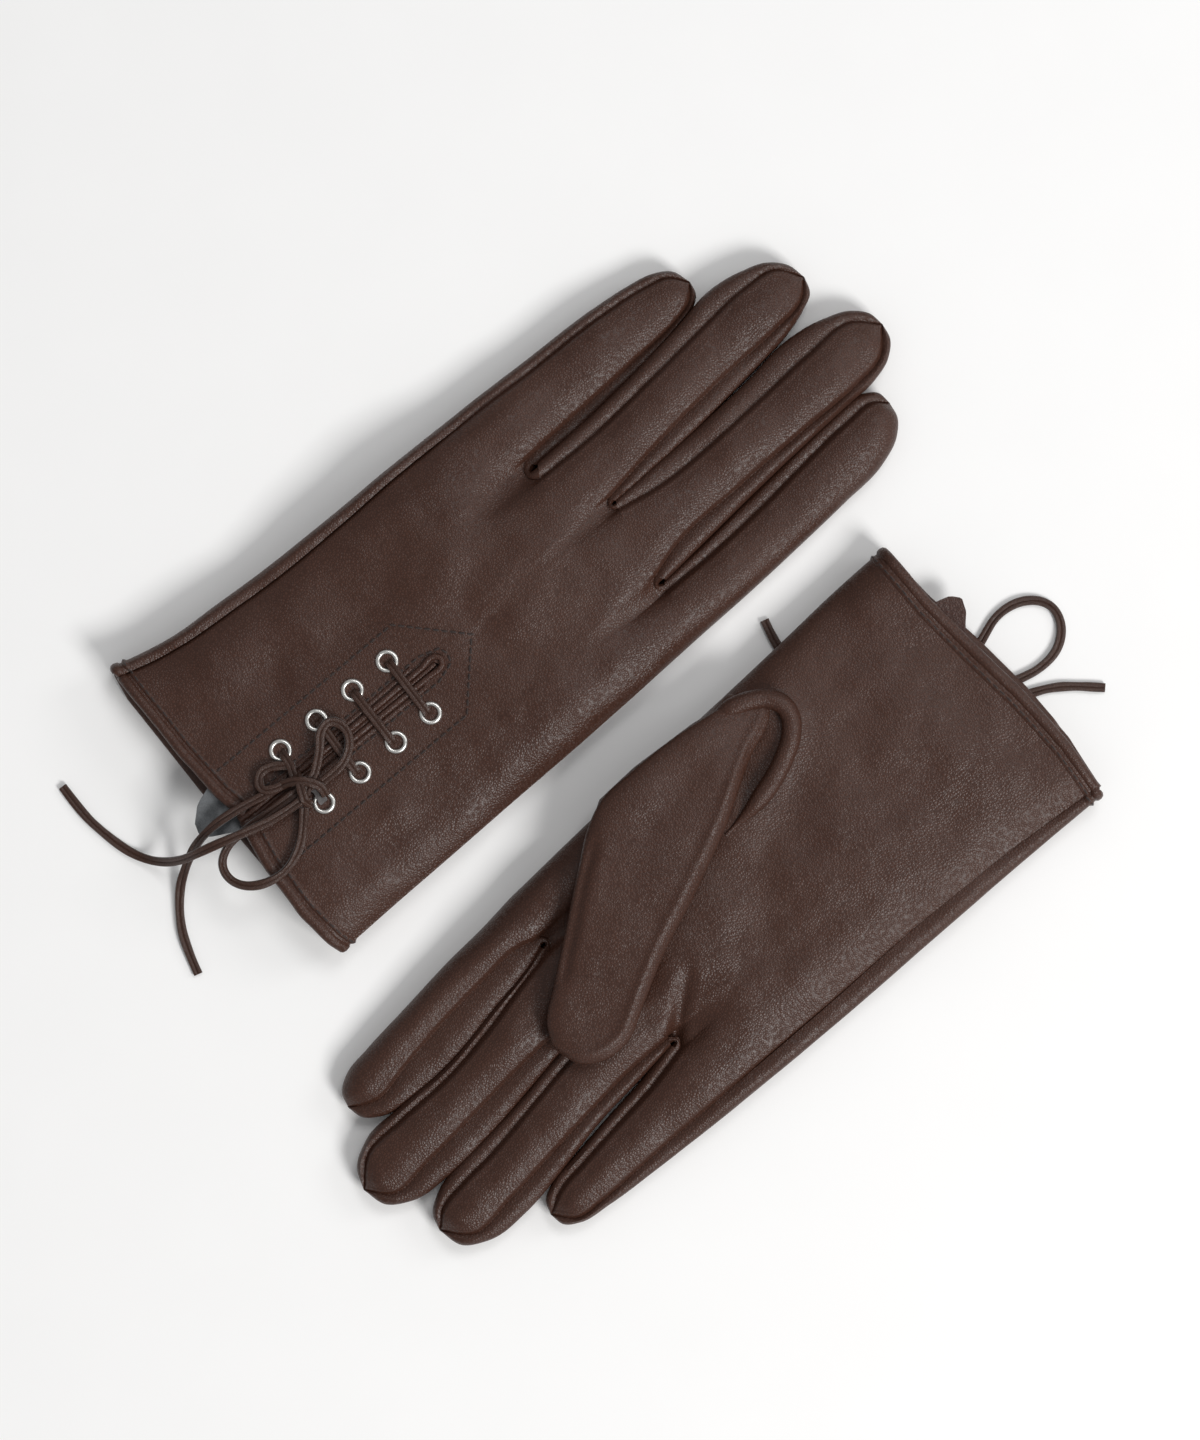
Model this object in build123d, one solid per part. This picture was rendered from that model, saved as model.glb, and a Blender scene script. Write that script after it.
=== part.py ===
"""A pair of leather dress gloves with laced cuffs, lying flat side by side.

Row frame, millimetres: +X runs along the left glove's fingers, +Y to its little finger, +Z up from the
surface that the pair rests on. The left glove lies back up with its thumb folded under the palm. The right
glove lies palm up, fingers towards -X, with its thumb folded over the palm and its lacing underneath.
Each glove is a folded trank, a side strip, fourchettes, a thumb, a lining, a hem and the lacing parts.
"""

from build123d import *
import math
import os

# ---------------------------------------------------------------- driving dimensions
LEATHER = 1.2  # thickness of the outer leather
LINING = 0.7  # thickness of the knitted lining
HEM_WIDTH = 5.0  # width of the turned hem at the cuff
CUFF_X = 104.5  # distance of both cuff edges from the origin
CURL_DEG = 75.0  # how far a finger curls at its joint
JOINT_GAP = 0.25  # half the slit between a finger and the hand
BAND = 2.6  # half height of a fourchette
FAR = 400.0  # larger than the object
MIN_VOLUME = 0.5  # anything smaller is a sliver
CUFF_OVERRUN = 2.0  # how far the hand is drawn past its cuff before it is cut there
LEFT, RIGHT = 1, -1  # the way that each glove's fingers point along X

# the laced slit in its own frame: x along the left glove, y from the slit, z out of the leather's face
EYELET_X = (-77.5, -63.5, -49.5, -36.0)
EYELET_Y = 10.1
BORE_R, BARREL_R, FLANGE_R, WASHER_R = 2.15, 2.5, 3.5, 3.6
FLANGE_T = 0.6
PATCH_T, WASHER_T = LINING, 0.4
PATCH_HALF, PATCH_SHOULDER_X, PATCH_APEX_X = 17.8, -29.0, -10.5
SLIT_HALF, SLIT_END_X = 3.0, -24.0
LIP_GAP_HALF, LIP_RISE = 0.5, 0.9
TONGUE_HALF, TONGUE_T, TONGUE_ROOT_X, TONGUE_CORNER_R = 13.5, 0.95, -20.0, 8.0
TONGUE_SEAM = 4.0  # length of the tongue that is sewn to the patch
LACE_W, LACE_T = 2.6, 1.0
BAR_Z = LIP_RISE + 0.1
PATCH_Z = -(LEATHER + PATCH_T)
RUN_Z = PATCH_Z - WASHER_T
TONGUE_Z = RUN_Z - LACE_T
KNOT_X, KNOT_Y, KNOT_LENGTH, KNOT_WIDTH, KNOT_T = -78.5, -3.5, 11.0, 12.0, 1.85
CORD_R = 1.0

# each glove's slit: its y, the height of the leather's face there, the tongue's offset and its outer end
SLIT = {LEFT: (48.0, 18.0, 0.0, -112.0), RIGHT: (-61.0, 4.2, -14.0, -108.5)}

# ---------------------------------------------------------------- outlines: x, y low, y high, z low, z high
HAND = {
    LEFT: [
        (-104.5, 0.0, 110.5, 0.0, 18.0),
        (-85.0, 1.0, 106.0, 0.0, 18.0),
        (-20.0, 1.8, 103.0, 0.0, 18.0),
        (10.0, 2.4, 102.5, 0.0, 22.0),
        (35.0, 3.6, 102.0, 0.0, 20.0),
        (50.0, 4.2, 101.0, 0.0, 19.0),
    ],
    RIGHT: [
        (104.5, -110.5, -12.0, 0.0, 16.0),
        (60.0, -111.0, -13.8, 0.0, 16.0),
        (20.0, -111.4, -15.5, 0.0, 16.0),
        (-20.0, -111.6, -17.5, 0.0, 16.0),
        (-50.0, -111.4, -19.5, 0.0, 16.0),
    ],
}
FINGERS = {
    LEFT: {
        "index": [
            (50.0, 4.4, 24.8, 0.0, 13.0),
            (70.0, 5.2, 25.6, 0.0, 12.6),
            (100.0, 7.0, 27.4, 0.0, 11.5),
            (118.0, 9.0, 28.4, 0.0, 10.0),
            (129.0, 16.0, 25.0, 1.0, 6.0),
        ],
        "middle": [
            (50.0, 25.4, 50.4, 8.4, 18.9),
            (80.0, 26.6, 52.2, 5.5, 16.5),
            (115.0, 29.2, 54.8, 2.0, 12.5),
            (133.0, 31.2, 52.2, 0.2, 9.4),
            (143.0, 37.0, 46.0, 1.0, 6.0),
        ],
        "ring": [
            (50.0, 51.0, 75.6, 8.4, 18.9),
            (80.0, 52.9, 78.0, 5.5, 16.5),
            (110.0, 57.2, 80.8, 2.0, 12.5),
            (126.0, 60.2, 76.8, 0.2, 9.4),
            (134.0, 65.0, 71.5, 1.0, 6.0),
        ],
        "little": [
            (50.0, 76.3, 100.8, 0.0, 13.0),
            (67.0, 78.4, 100.2, 0.0, 12.4),
            (95.0, 81.6, 97.5, 0.0, 11.0),
            (103.0, 82.5, 95.5, 0.0, 9.5),
            (107.0, 85.0, 91.5, 1.0, 6.0),
        ],
    },
    RIGHT: {
        "index": [
            (-50.0, -38.4, -19.8, 0.0, 13.4),
            (-70.0, -40.7, -22.0, 0.0, 12.6),
            (-100.0, -45.2, -24.6, 0.0, 11.5),
            (-120.0, -46.0, -27.4, 0.0, 10.0),
            (-131.0, -42.0, -33.0, 1.0, 6.0),
        ],
        "middle": [
            (-50.0, -61.4, -39.2, 0.0, 13.4),
            (-80.0, -66.0, -44.4, 0.0, 12.6),
            (-115.0, -70.8, -48.0, 0.0, 11.5),
            (-134.0, -69.8, -49.4, 0.0, 9.4),
            (-143.0, -64.0, -55.0, 1.0, 6.0),
        ],
        "ring": [
            (-50.0, -85.2, -62.1, 0.0, 13.4),
            (-80.0, -89.0, -66.9, 0.0, 12.6),
            (-110.0, -94.0, -71.6, 0.0, 11.5),
            (-126.0, -93.6, -73.8, 0.0, 9.4),
            (-134.0, -88.0, -79.0, 1.0, 6.0),
        ],
        "little": [
            (-50.0, -111.2, -85.9, 0.0, 13.4),
            (-67.0, -110.8, -88.2, 0.0, 12.6),
            (-90.0, -109.6, -94.8, 0.0, 11.0),
            (-100.0, -108.4, -95.6, 0.0, 9.4),
            (-105.5, -104.8, -98.0, 1.0, 6.0),
        ],
    },
}
HINGE_X = {"index": 70.0, "middle": 84.0, "ring": 84.0, "little": 67.0}

# the right glove's folded thumb: x, y low, y high, thickness
THUMB = [
    (47.0, -30.0, -22.0, 3.6),
    (40.0, -29.5, -18.5, 5.6),
    (20.0, -38.5, -15.5, 6.8),
    (0.0, -49.0, -14.5, 6.8),
    (-20.0, -59.5, -17.5, 6.8),
    (-40.0, -69.5, -32.0, 6.8),
    (-58.0, -74.5, -44.5, 5.4),
    (-68.0, -70.0, -53.0, 4.2),
    (-72.0, -64.0, -58.0, 3.0),
]
THUMB_MIDDLE = 3.4  # half the folded thumb's thickness
THUMB_LIFT = 0.4  # between the folded thumb and the palm
THUMB_TURN_Y = -11.0  # the left thumb's y is this less the right thumb's
THUMB_HOLE = (6.0, 30.0, -34.0, -24.0)  # x and y of the opening from the right palm into its thumb
THUMB_FOLD = (-30.0, 48.0, -23.0, -7.0)  # x and y of the right thumb's folded base at the palm's edge
THUMB_SWING = 4.0  # room beside the folded left thumb, which it needs to swing out
PALM_Z = 16.0  # height of the right glove's palm

# what the right glove's lacing sinks into: x, y and height of the two hollows under it
BOW_HOLLOW = (8.0, 106.0, -83.5, -38.5, 4.2)
LACE_HOLLOW = (52.0, 66.0, -40.0, -5.0, 3.0)

# ---------------------------------------------------------------- routes of the free laces
ROUTES = {
    LEFT: {
        "bow_loop_a": [
            (-73.5, 46.5, 21.6),
            (-68.5, 50.0, 21.8),
            (-65.0, 54.6, 21.9),
            (-60.4, 55.8, 21.4),
            (-58.0, 51.6, 21.0),
            (-59.4, 46.6, 21.2),
            (-64.0, 43.4, 21.6),
            (-69.0, 42.6, 21.6),
            (-73.5, 42.8, 21.2),
        ],
        "bow_loop_b": [
            (-83.0, 40.5, 20.6),
            (-87.0, 36.0, 20.0),
            (-92.0, 31.8, 19.5),
            (-98.5, 29.4, 19.4),
            (-105.5, 30.0, 19.5),
            (-111.5, 33.4, 18.9),
            (-114.2, 38.6, 18.2),
            (-112.8, 43.8, 18.4),
            (-107.5, 46.6, 19.6),
            (-100.0, 46.6, 20.3),
            (-92.0, 45.9, 20.4),
            (-84.0, 45.6, 20.6),
        ],
        "lace_end_a": [
            (-83.0, 42.6, 22.4),
            (-91.0, 43.2, 22.6),
            (-99.5, 45.6, 22.8),
            (-108.0, 48.2, 22.8),
            (-115.0, 50.2, 20.2),
            (-120.8, 51.8, 14.4),
            (-126.0, 54.6, 7.8),
            (-130.4, 59.0, 2.8),
            (-133.6, 65.0, 1.2),
            (-135.6, 73.5, 1.1),
            (-136.9, 83.0, 1.1),
            (-136.2, 93.0, 1.1),
        ],
        "lace_end_b": [
            (-83.0, 49.6, 20.8),
            (-91.0, 51.3, 19.8),
            (-99.0, 53.0, 19.5),
            (-106.5, 53.8, 19.7),
            (-113.0, 53.4, 17.2),
            (-118.0, 52.2, 11.2),
            (-123.2, 50.0, 5.2),
            (-128.5, 46.8, 1.7),
            (-133.8, 40.8, 1.1),
            (-138.4, 33.0, 1.1),
            (-141.2, 23.0, 1.1),
        ],
    },
    RIGHT: {
        "bow_loop_a": [
            (73.5, -60.0, 1.1),
            (67.0, -64.6, 1.1),
            (60.0, -68.8, 1.1),
            (52.0, -71.0, 1.1),
            (45.0, -69.4, 1.1),
            (41.4, -64.4, 1.1),
            (43.4, -59.2, 1.1),
            (50.0, -56.6, 1.1),
            (58.0, -56.2, 1.1),
            (66.0, -56.8, 1.1),
            (73.5, -56.6, 1.1),
        ],
        "bow_loop_b": [
            (83.5, -54.4, 1.1),
            (91.0, -54.6, 1.1),
            (99.0, -54.2, 1.1),
            (106.5, -51.6, 1.1),
            (113.5, -49.0, 1.1),
            (121.0, -49.8, 1.1),
            (126.6, -53.6, 1.1),
            (128.8, -59.0, 1.1),
            (126.6, -65.0, 1.1),
            (121.0, -69.2, 1.1),
            (113.5, -70.0, 1.1),
            (106.0, -68.2, 1.1),
            (98.5, -65.4, 1.1),
            (91.0, -61.8, 1.1),
            (83.5, -59.4, 1.1),
        ],
        "lace_end_a": [
            (83.5, -62.6, 1.1),
            (90.0, -67.0, 1.1),
            (97.5, -70.6, 1.1),
            (105.0, -73.2, 1.1),
            (112.0, -76.2, 1.1),
            (118.6, -81.0, 1.1),
            (124.8, -87.0, 1.1),
        ],
        "lace_end_b": [
            (73.5, -52.6, 1.1),
            (68.0, -47.4, 1.1),
            (63.0, -40.0, 1.1),
            (59.4, -32.0, 1.1),
            (57.0, -23.0, 1.1),
            (56.4, -14.0, 1.1),
            (59.0, -5.0, 1.1),
        ],
    },
}


# ---------------------------------------------------------------- building blocks
def section(x, y0, y1, z0, z1, inset=0.0):
    """A flattened round across X, taken in by inset on every side."""
    across = Plane(origin=(x, (y0 + y1) / 2, (z0 + z1) / 2), x_dir=(0, 1, 0), z_dir=(1, 0, 0))
    return across * SlotOverall(y1 - y0 - 2 * inset, z1 - z0 - 2 * inset)


def tube(stations, inset=0.0, ends=(0.0, 0.0)):
    """A solid through the stations. ends moves the first and the last section outwards along X."""
    way = math.copysign(1, stations[-1][0] - stations[0][0])
    moves = [-way * ends[0]] + [0.0] * (len(stations) - 2) + [way * ends[1]]
    return loft([section(x + m, *box, inset=inset) for (x, *box), m in zip(stations, moves)], ruled=True)


def block(x0, x1, y0, y1, z0, z1):
    """A box by its corners, given in any order."""
    return Pos((x0 + x1) / 2, (y0 + y1) / 2, (z0 + z1) / 2) * Box(abs(x1 - x0), abs(y1 - y0), abs(z1 - z0))


def prism_xz(points):
    """A solid whose outline in X and Z is given, right across the object in Y."""
    outline = [Vector(x, 0, z) for x, z in points]
    return extrude(make_face(Polyline(*outline, close=True)), amount=FAR, dir=(0, 1, 0), both=True)


def prism_xy(points, z0, z1):
    """A solid whose outline in X and Y is given, from one height to another."""
    outline = [Vector(x, y, z0) for x, y in points]
    return extrude(make_face(Polyline(*outline, close=True)), amount=z1 - z0, dir=(0, 0, 1))


def middle_line(stations):
    """The centre heights of the stations, as x, z points."""
    return [(x, (z0 + z1) / 2) for x, _, _, z0, z1 in stations]


def height_at(line, x):
    """z at x on a line of x, z points."""
    for (xa, za), (xb, zb) in zip(line, line[1:]):
        if min(xa, xb) <= x <= max(xa, xb):
            return za + (zb - za) * (x - xa) / (xb - xa)
    raise ValueError("x is off the line")


def above(line, overrun=5.0):
    """Everything above a line of x, z points, which runs on at both ends."""
    way = math.copysign(overrun, line[-1][0] - line[0][0])
    (xa, za), (xb, zb) = line[0], line[-1]
    return prism_xz([(xa - way, za)] + line + [(xb + way, zb), (xb + way, FAR), (xa - way, FAR)])


def side_band(line, taper_from=None, taper_to=None, overrun=5.0):
    """The strip of height 2 BAND about a line. It can close between two places along the line."""
    way = math.copysign(1, line[-1][0] - line[0][0])
    start, points, tip = line[0], line, []
    if taper_from is not None:
        points = [(x, z) for x, z in line if way * x < way * taper_from]
        points.append((taper_from, height_at(line, taper_from)))
        tip = [(taper_to, height_at(line, taper_to))]
    points = [(start[0] - way * overrun, start[1])] + points
    low = [(x, z - BAND) for x, z in points]
    high = [(x, z + BAND) for x, z in reversed(points)]
    return prism_xz(low + tip + high)


def joint_regions(hinge_x, hinge_z, palm):
    """What lies before and beyond a finger joint. They part at a V on the palm side, which the curl closes."""
    way = math.copysign(1, hinge_x)
    spread = math.tan(math.radians(CURL_DEG / 2)) * FAR
    beyond = [
        (hinge_x + way * JOINT_GAP, hinge_z - palm * FAR),
        (hinge_x + way * JOINT_GAP, hinge_z),
        (hinge_x + way * (JOINT_GAP + spread), hinge_z + palm * FAR),
        (hinge_x + way * 3 * FAR, hinge_z + palm * FAR),
        (hinge_x + way * 3 * FAR, hinge_z - palm * FAR),
    ]
    before = [(2 * hinge_x - x, z) for x, z in beyond]
    return prism_xz(before), prism_xz(beyond)


def solids(shape):
    """The shape's solids, without slivers."""
    if shape is None:
        return []
    found = shape.solids() if hasattr(shape, "solids") else ShapeList(shape).solids()
    return [s for s in found if s.volume > MIN_VOLUME]


def save(name, shape):
    """One node as one file, of one solid or a group of them."""
    found = solids(shape) if not isinstance(shape, list) else [s for part in shape for s in solids(part)]
    if not found:
        raise ValueError(name + " is empty")
    export_step(found[0] if len(found) == 1 else Compound(children=found), "parts/" + name + ".step")


# ---------------------------------------------------------------- digits
def finger(way, name):
    """One finger's leather pieces: a dict of name to its part before and its part beyond the joint."""
    stations = FINGERS[way][name]
    palm = -way
    skin = tube(stations) - tube(stations, LEATHER, ends=(0.0, -LEATHER))
    line = middle_line(stations)
    tip_x = stations[-1][0]
    band = side_band(line, tip_x - way * 26.0, tip_x - way * 9.0)
    if name == "index":  # the trank is folded round the index finger, so only its inner side has a strip
        centre_y = (stations[0][1] + stations[0][2]) / 2
        band = band & block(-FAR, FAR, centre_y, way * FAR, -FAR, FAR)
        pieces = {"wrap": skin - band, "fourchette": skin & band}
    else:
        upper = above(line)
        rest = skin - band
        top, bottom = rest & upper, rest - upper
        pieces = {"back": bottom if palm > 0 else top, "palm": top if palm > 0 else bottom}
        pieces["fourchettes"] = skin & band
    hinge_x = way * HINGE_X[name]
    before, beyond = joint_regions(hinge_x, height_at(line, hinge_x), palm)
    return {piece: (shape & before, shape & beyond) for piece, shape in pieces.items()}


def thumb_stations(way):
    """The folded thumb: over the right palm, or under the left one."""
    if way == RIGHT:
        floor = PALM_Z + THUMB_LIFT
        return [(x, y0, y1, floor, floor + t) for x, y0, y1, t in THUMB]
    return [(-x, THUMB_TURN_Y - y1, THUMB_TURN_Y - y0, 0.0, t) for x, y0, y1, t in THUMB]


def thumb_hole(way):
    """The opening between the palm and the thumb, through both walls."""
    x0, x1, y0, y1 = THUMB_HOLE
    if way == RIGHT:
        return block(x0, x1, y0, y1, PALM_Z - 2.6, PALM_Z + 2.2)
    return block(-x1, -x0, THUMB_TURN_Y - y1, THUMB_TURN_Y - y0, 4.9, 9.6)


def thumb(way):
    """The thumb's two leather panels, which meet at half its height."""
    stations = thumb_stations(way)
    skin = tube(stations) - tube(stations, LEATHER, ends=(-LEATHER, -LEATHER)) - thumb_hole(way)
    upper = above(middle_line(stations))
    top, bottom = skin & upper, skin - upper
    return (top, bottom) if way == RIGHT else (bottom, top)


# ---------------------------------------------------------------- hand
def hollow(way, grow):
    """What the hand folds over: the left glove's thumb, or the right glove's lacing."""
    if way == LEFT:
        x0, x1, y0, y1 = THUMB_FOLD
        rise = max(t for *_, t in THUMB) + THUMB_LIFT + grow
        fold = block(-x1 - grow, -x0 + grow, -10.0, THUMB_TURN_Y - y0 + grow, -1.0, rise)
        room = [(x, low - THUMB_SWING, high, z0, z1) for x, low, high, z0, z1 in thumb_stations(way)]
        side = THUMB_LIFT + grow
        lows = [(x, low - side) for x, low, *_ in room]
        highs = [(x, high + side) for x, _, high, *_ in reversed(room)]
        return tube(room, -side, ends=(side, side)) + fold + prism_xy(lows + highs, -1.0, THUMB_MIDDLE)
    shapes = []
    for x0, x1, y0, y1, rise in (BOW_HOLLOW, LACE_HOLLOW):
        shapes.append(block(x0 - grow, x1 + grow, y0 - grow, y1 + grow, -1.0, rise + grow))
    return shapes[0] + shapes[1]


def hand_layer(way, depth, thickness):
    """A closed-ended layer of the hand, from one depth under the leather's face to another, open at the cuff."""
    full = depth + thickness
    outer, inner = [tube(HAND[way], d, ends=(CUFF_OVERRUN, -d)) - hollow(way, d) for d in (depth, full)]
    return outer - inner


def cuff_slice(way, near, far):
    """The slab of space between two distances from the cuff's edge."""
    edge = -way * CUFF_X
    return block(edge + way * near, edge + way * far, -FAR, FAR, -FAR, FAR)


def finger_bores(way):
    """What opens the hand's closed end into its four fingers."""
    bores = None
    for stations in FINGERS[way].values():
        mouth = section(*stations[0], inset=LEATHER)
        bore = extrude(mouth, amount=LEATHER + LINING + 1.0, dir=(-way, 0, 0))
        bores = bore if bores is None else bores + bore
    return bores


def side_region(way):
    """Where the narrow side strip runs, along the little finger's side of the hand."""
    return side_band(middle_line(HAND[way])) & block(-FAR, FAR, way * 100.0 - 6.0, way * FAR, -FAR, FAR)


# ---------------------------------------------------------------- lacing, in the slit's own frame
def on_glove(shape, way):
    """Carry a shape from the slit's frame to its glove. The right glove is the left one's mirror image."""
    y, z = SLIT[way][:2]
    if way == RIGHT:
        shape = Rot(0, 0, 180) * mirror(shape, about=Plane.XY)
    return Pos(0, y, z) * shape


def slit_prism(half, z0, z1):
    """The slit, with its round end, out past the cuff."""
    start = -CUFF_X - 10.0
    straight = block(start, SLIT_END_X - SLIT_HALF, -half, half, z0, z1)
    end = Pos(SLIT_END_X - SLIT_HALF, 0, (z0 + z1) / 2) * Cylinder(half, z1 - z0)
    return straight + end


def patch_prism(z0, z1):
    """The pointed patch under the eyelets, from the hem's edge to its tip."""
    start = -CUFF_X + HEM_WIDTH
    outline = [
        (start, -PATCH_HALF),
        (PATCH_SHOULDER_X, -PATCH_HALF),
        (PATCH_APEX_X, 0.0),
        (PATCH_SHOULDER_X, PATCH_HALF),
        (start, PATCH_HALF),
    ]
    return prism_xy(outline, z0, z1)


def at_eyelets(radius, z0, z1):
    """A round bar at each of the eight eyelets."""
    bars = []
    for x in EYELET_X:
        for y in (-EYELET_Y, EYELET_Y):
            bars.append(Pos(x, y, (z0 + z1) / 2) * Cylinder(radius, z1 - z0))
    return bars


def cut_all(shape, tools):
    """The shape less each tool."""
    for tool in tools:
        shape = shape - tool
    return shape


def eyelets():
    """Each eyelet is a barrel with a flange on the leather's face."""
    bores = at_eyelets(BORE_R, RUN_Z - 1.0, FLANGE_T + 1.0)
    barrels = at_eyelets(BARREL_R, RUN_Z, FLANGE_T)
    flanges = at_eyelets(FLANGE_R, 0.0, FLANGE_T)
    return [barrel + flange - bore for barrel, flange, bore in zip(barrels, flanges, bores)]


def washers():
    """The washer that each barrel is set against, under the patch."""
    outer, inner = at_eyelets(WASHER_R, RUN_Z, PATCH_Z), at_eyelets(BARREL_R, RUN_Z - 1.0, 0.0)
    return [ring - hole for ring, hole in zip(outer, inner)]


def binding():
    """The bound edge of the slit, which stands up as two lips."""
    end_x = -CUFF_X
    lips = slit_prism(SLIT_HALF, PATCH_Z, LIP_RISE) - slit_prism(LIP_GAP_HALF, PATCH_Z - 1.0, LIP_RISE + 1.0)
    return lips & block(end_x, 0.0, -FAR, FAR, -FAR, FAR)


def tongue(way):
    """A soft leather tongue behind the slit, sewn to the patch at its inner end."""
    offset, end_x = SLIT[way][2:]
    low, high = offset - TONGUE_HALF, offset + TONGUE_HALF
    sheet = block(end_x, TONGUE_ROOT_X, low, high, TONGUE_Z - TONGUE_T, TONGUE_Z)
    corners = [e for e in sheet.edges().filter_by(Axis.Z) if e.center().X < end_x + 1.0]
    sheet = fillet(corners, TONGUE_CORNER_R)
    seam_low, seam_high = max(low, -6.0), min(high, 6.0)
    root = block(TONGUE_ROOT_X - TONGUE_SEAM, TONGUE_ROOT_X, seam_low, seam_high, TONGUE_Z, PATCH_Z)
    return sheet + root


def lace_bars():
    """The laced stretch: a bar across the slit at each pair of eyelets, and the runs behind the patch."""
    half_w, half_t, low = LACE_W / 2, LACE_T / 2, RUN_Z - LACE_T
    lace = None
    for x in EYELET_X:
        reach = EYELET_Y + half_t
        bar = block(x - half_w, x + half_w, -reach, reach, BAR_Z, BAR_Z + LACE_T)
        for y in (-EYELET_Y, EYELET_Y):
            bar = bar + block(x - half_w, x + half_w, y - half_t, y + half_t, low, BAR_Z + LACE_T)
        lace = bar if lace is None else lace + bar
    for i, (xa, xb) in enumerate(zip(EYELET_X, EYELET_X[1:])):
        y = EYELET_Y if i % 2 else -EYELET_Y
        lace = lace + block(xa, xb, y - half_w, y + half_w, low, RUN_Z)
    return lace


def knot():
    """The bow's knot, flat on the first bar."""
    low = BAR_Z + LACE_T
    body = block(
        KNOT_X - KNOT_LENGTH / 2,
        KNOT_X + KNOT_LENGTH / 2,
        KNOT_Y - KNOT_WIDTH / 2,
        KNOT_Y + KNOT_WIDTH / 2,
        low,
        low + KNOT_T,
    )
    return fillet(body.edges().filter_by(Axis.Z), 2.5)


def lace(name, points):
    """A free lace: straight runs joined by arcs as large as the runs allow."""
    corners = [Vector(*p) for p in points]
    radii = []
    for a, b, c in zip(corners, corners[1:], corners[2:]):
        into, out = b - a, c - b
        turn = math.radians(into.get_angle(out))
        radii.append(0.45 * min(into.length, out.length) / math.tan(turn / 2))
    path = FilletPolyline(*corners, radius=radii)
    solid = sweep(Plane(origin=path @ 0, z_dir=path % 0) * Circle(CORD_R), path=path)
    print(name, "length", round(path.length, 1), "radii", [round(r, 1) for r in radii])
    print(name, "volume over section times length", solid.volume / (math.pi * CORD_R**2 * path.length))
    return solid


# ---------------------------------------------------------------- one glove
def glove(way, prefix):
    """Write every node of one glove."""
    trank = hand_layer(way, 0.0, LEATHER)
    bores = finger_bores(way)
    side = side_region(way)
    inside = cuff_slice(way, HEM_WIDTH, FAR)
    hem_zone = cuff_slice(way, 0.0, HEM_WIDTH)
    slit = on_glove(slit_prism(SLIT_HALF, -4.0, 2.0), way)
    through_eyelets = [on_glove(bar, way) for bar in at_eyelets(BARREL_R, -4.0, 2.0)]

    strip = (trank & side) & inside
    trank = cut_all((trank - side - bores - slit - thumb_hole(way)) & inside, through_eyelets)
    roots = []
    for name in FINGERS[way]:
        for piece, (before, beyond) in finger(way, name).items():
            save(prefix + name + "_" + piece, beyond)
            if piece.startswith("fourchette"):
                roots.append(before)
            else:
                trank = trank + before
    save(prefix + "trank", trank)
    save(prefix + "side_strip", strip - bores)
    save(prefix + "fourchette_roots", roots)

    lining = hand_layer(way, LEATHER, LINING) & inside
    patch_zone = on_glove(patch_prism(PATCH_Z - 0.2, -LEATHER + 0.2), way)
    save(prefix + "lining", lining - patch_zone - bores - thumb_hole(way))
    hem = hand_layer(way, 0.0, LEATHER + LINING) & hem_zone
    save(prefix + "cuff_hem", hem - slit)

    outer_thumb, inner_thumb = thumb(way)
    save(prefix + "thumb_outer", outer_thumb)
    save(prefix + "thumb_inner", inner_thumb)

    patch = patch_prism(PATCH_Z, -LEATHER) - slit_prism(SLIT_HALF, -4.0, 2.0)
    patch = cut_all(patch, at_eyelets(BARREL_R, -4.0, 2.0))
    save(prefix + "lacing_patch", on_glove(patch, way))
    save(prefix + "slit_binding", on_glove(binding(), way))
    save(prefix + "tongue", on_glove(tongue(way), way))
    save(prefix + "eyelets", [on_glove(part, way) for part in eyelets()])
    save(prefix + "eyelet_washers", [on_glove(part, way) for part in washers()])
    save(prefix + "lace_bars", on_glove(lace_bars(), way))
    bow_knot = on_glove(knot(), way)
    save(prefix + "bow_knot", bow_knot)
    for name, points in ROUTES[way].items():
        save(prefix + name, lace(prefix + name, points) - bow_knot)


os.makedirs("parts", exist_ok=True)
glove(LEFT, "left_")
glove(RIGHT, "right_")
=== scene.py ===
"""A pair of dark brown leather gloves with laced cuffs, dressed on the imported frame.

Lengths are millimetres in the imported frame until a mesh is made. Both gloves are lofted skins: each finger is
a ladder of rungs between its outlines, and the hand runs from the cuff to the knuckles.
"""
import math

import bmesh
import bpy
import numpy as np
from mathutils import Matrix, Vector, noise
from mathutils.bvhtree import BVHTree


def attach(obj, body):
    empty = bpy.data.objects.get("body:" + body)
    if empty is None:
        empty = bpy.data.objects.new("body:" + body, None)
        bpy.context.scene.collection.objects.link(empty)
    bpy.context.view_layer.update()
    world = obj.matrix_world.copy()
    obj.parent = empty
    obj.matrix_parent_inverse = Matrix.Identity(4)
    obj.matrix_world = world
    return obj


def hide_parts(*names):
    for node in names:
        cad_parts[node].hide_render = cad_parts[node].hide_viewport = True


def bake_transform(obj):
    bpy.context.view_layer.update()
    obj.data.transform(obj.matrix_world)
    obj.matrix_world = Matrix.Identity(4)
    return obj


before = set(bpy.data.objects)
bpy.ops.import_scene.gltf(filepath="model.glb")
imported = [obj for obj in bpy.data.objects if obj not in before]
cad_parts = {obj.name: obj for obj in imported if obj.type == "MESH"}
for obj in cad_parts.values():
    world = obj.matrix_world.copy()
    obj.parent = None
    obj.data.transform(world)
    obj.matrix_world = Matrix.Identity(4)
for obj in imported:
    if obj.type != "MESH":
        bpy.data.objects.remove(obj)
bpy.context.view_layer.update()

MM = 0.001
LEFT, RIGHT = "left", "right"
FINGERS = ("index", "middle", "ring", "little")

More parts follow.
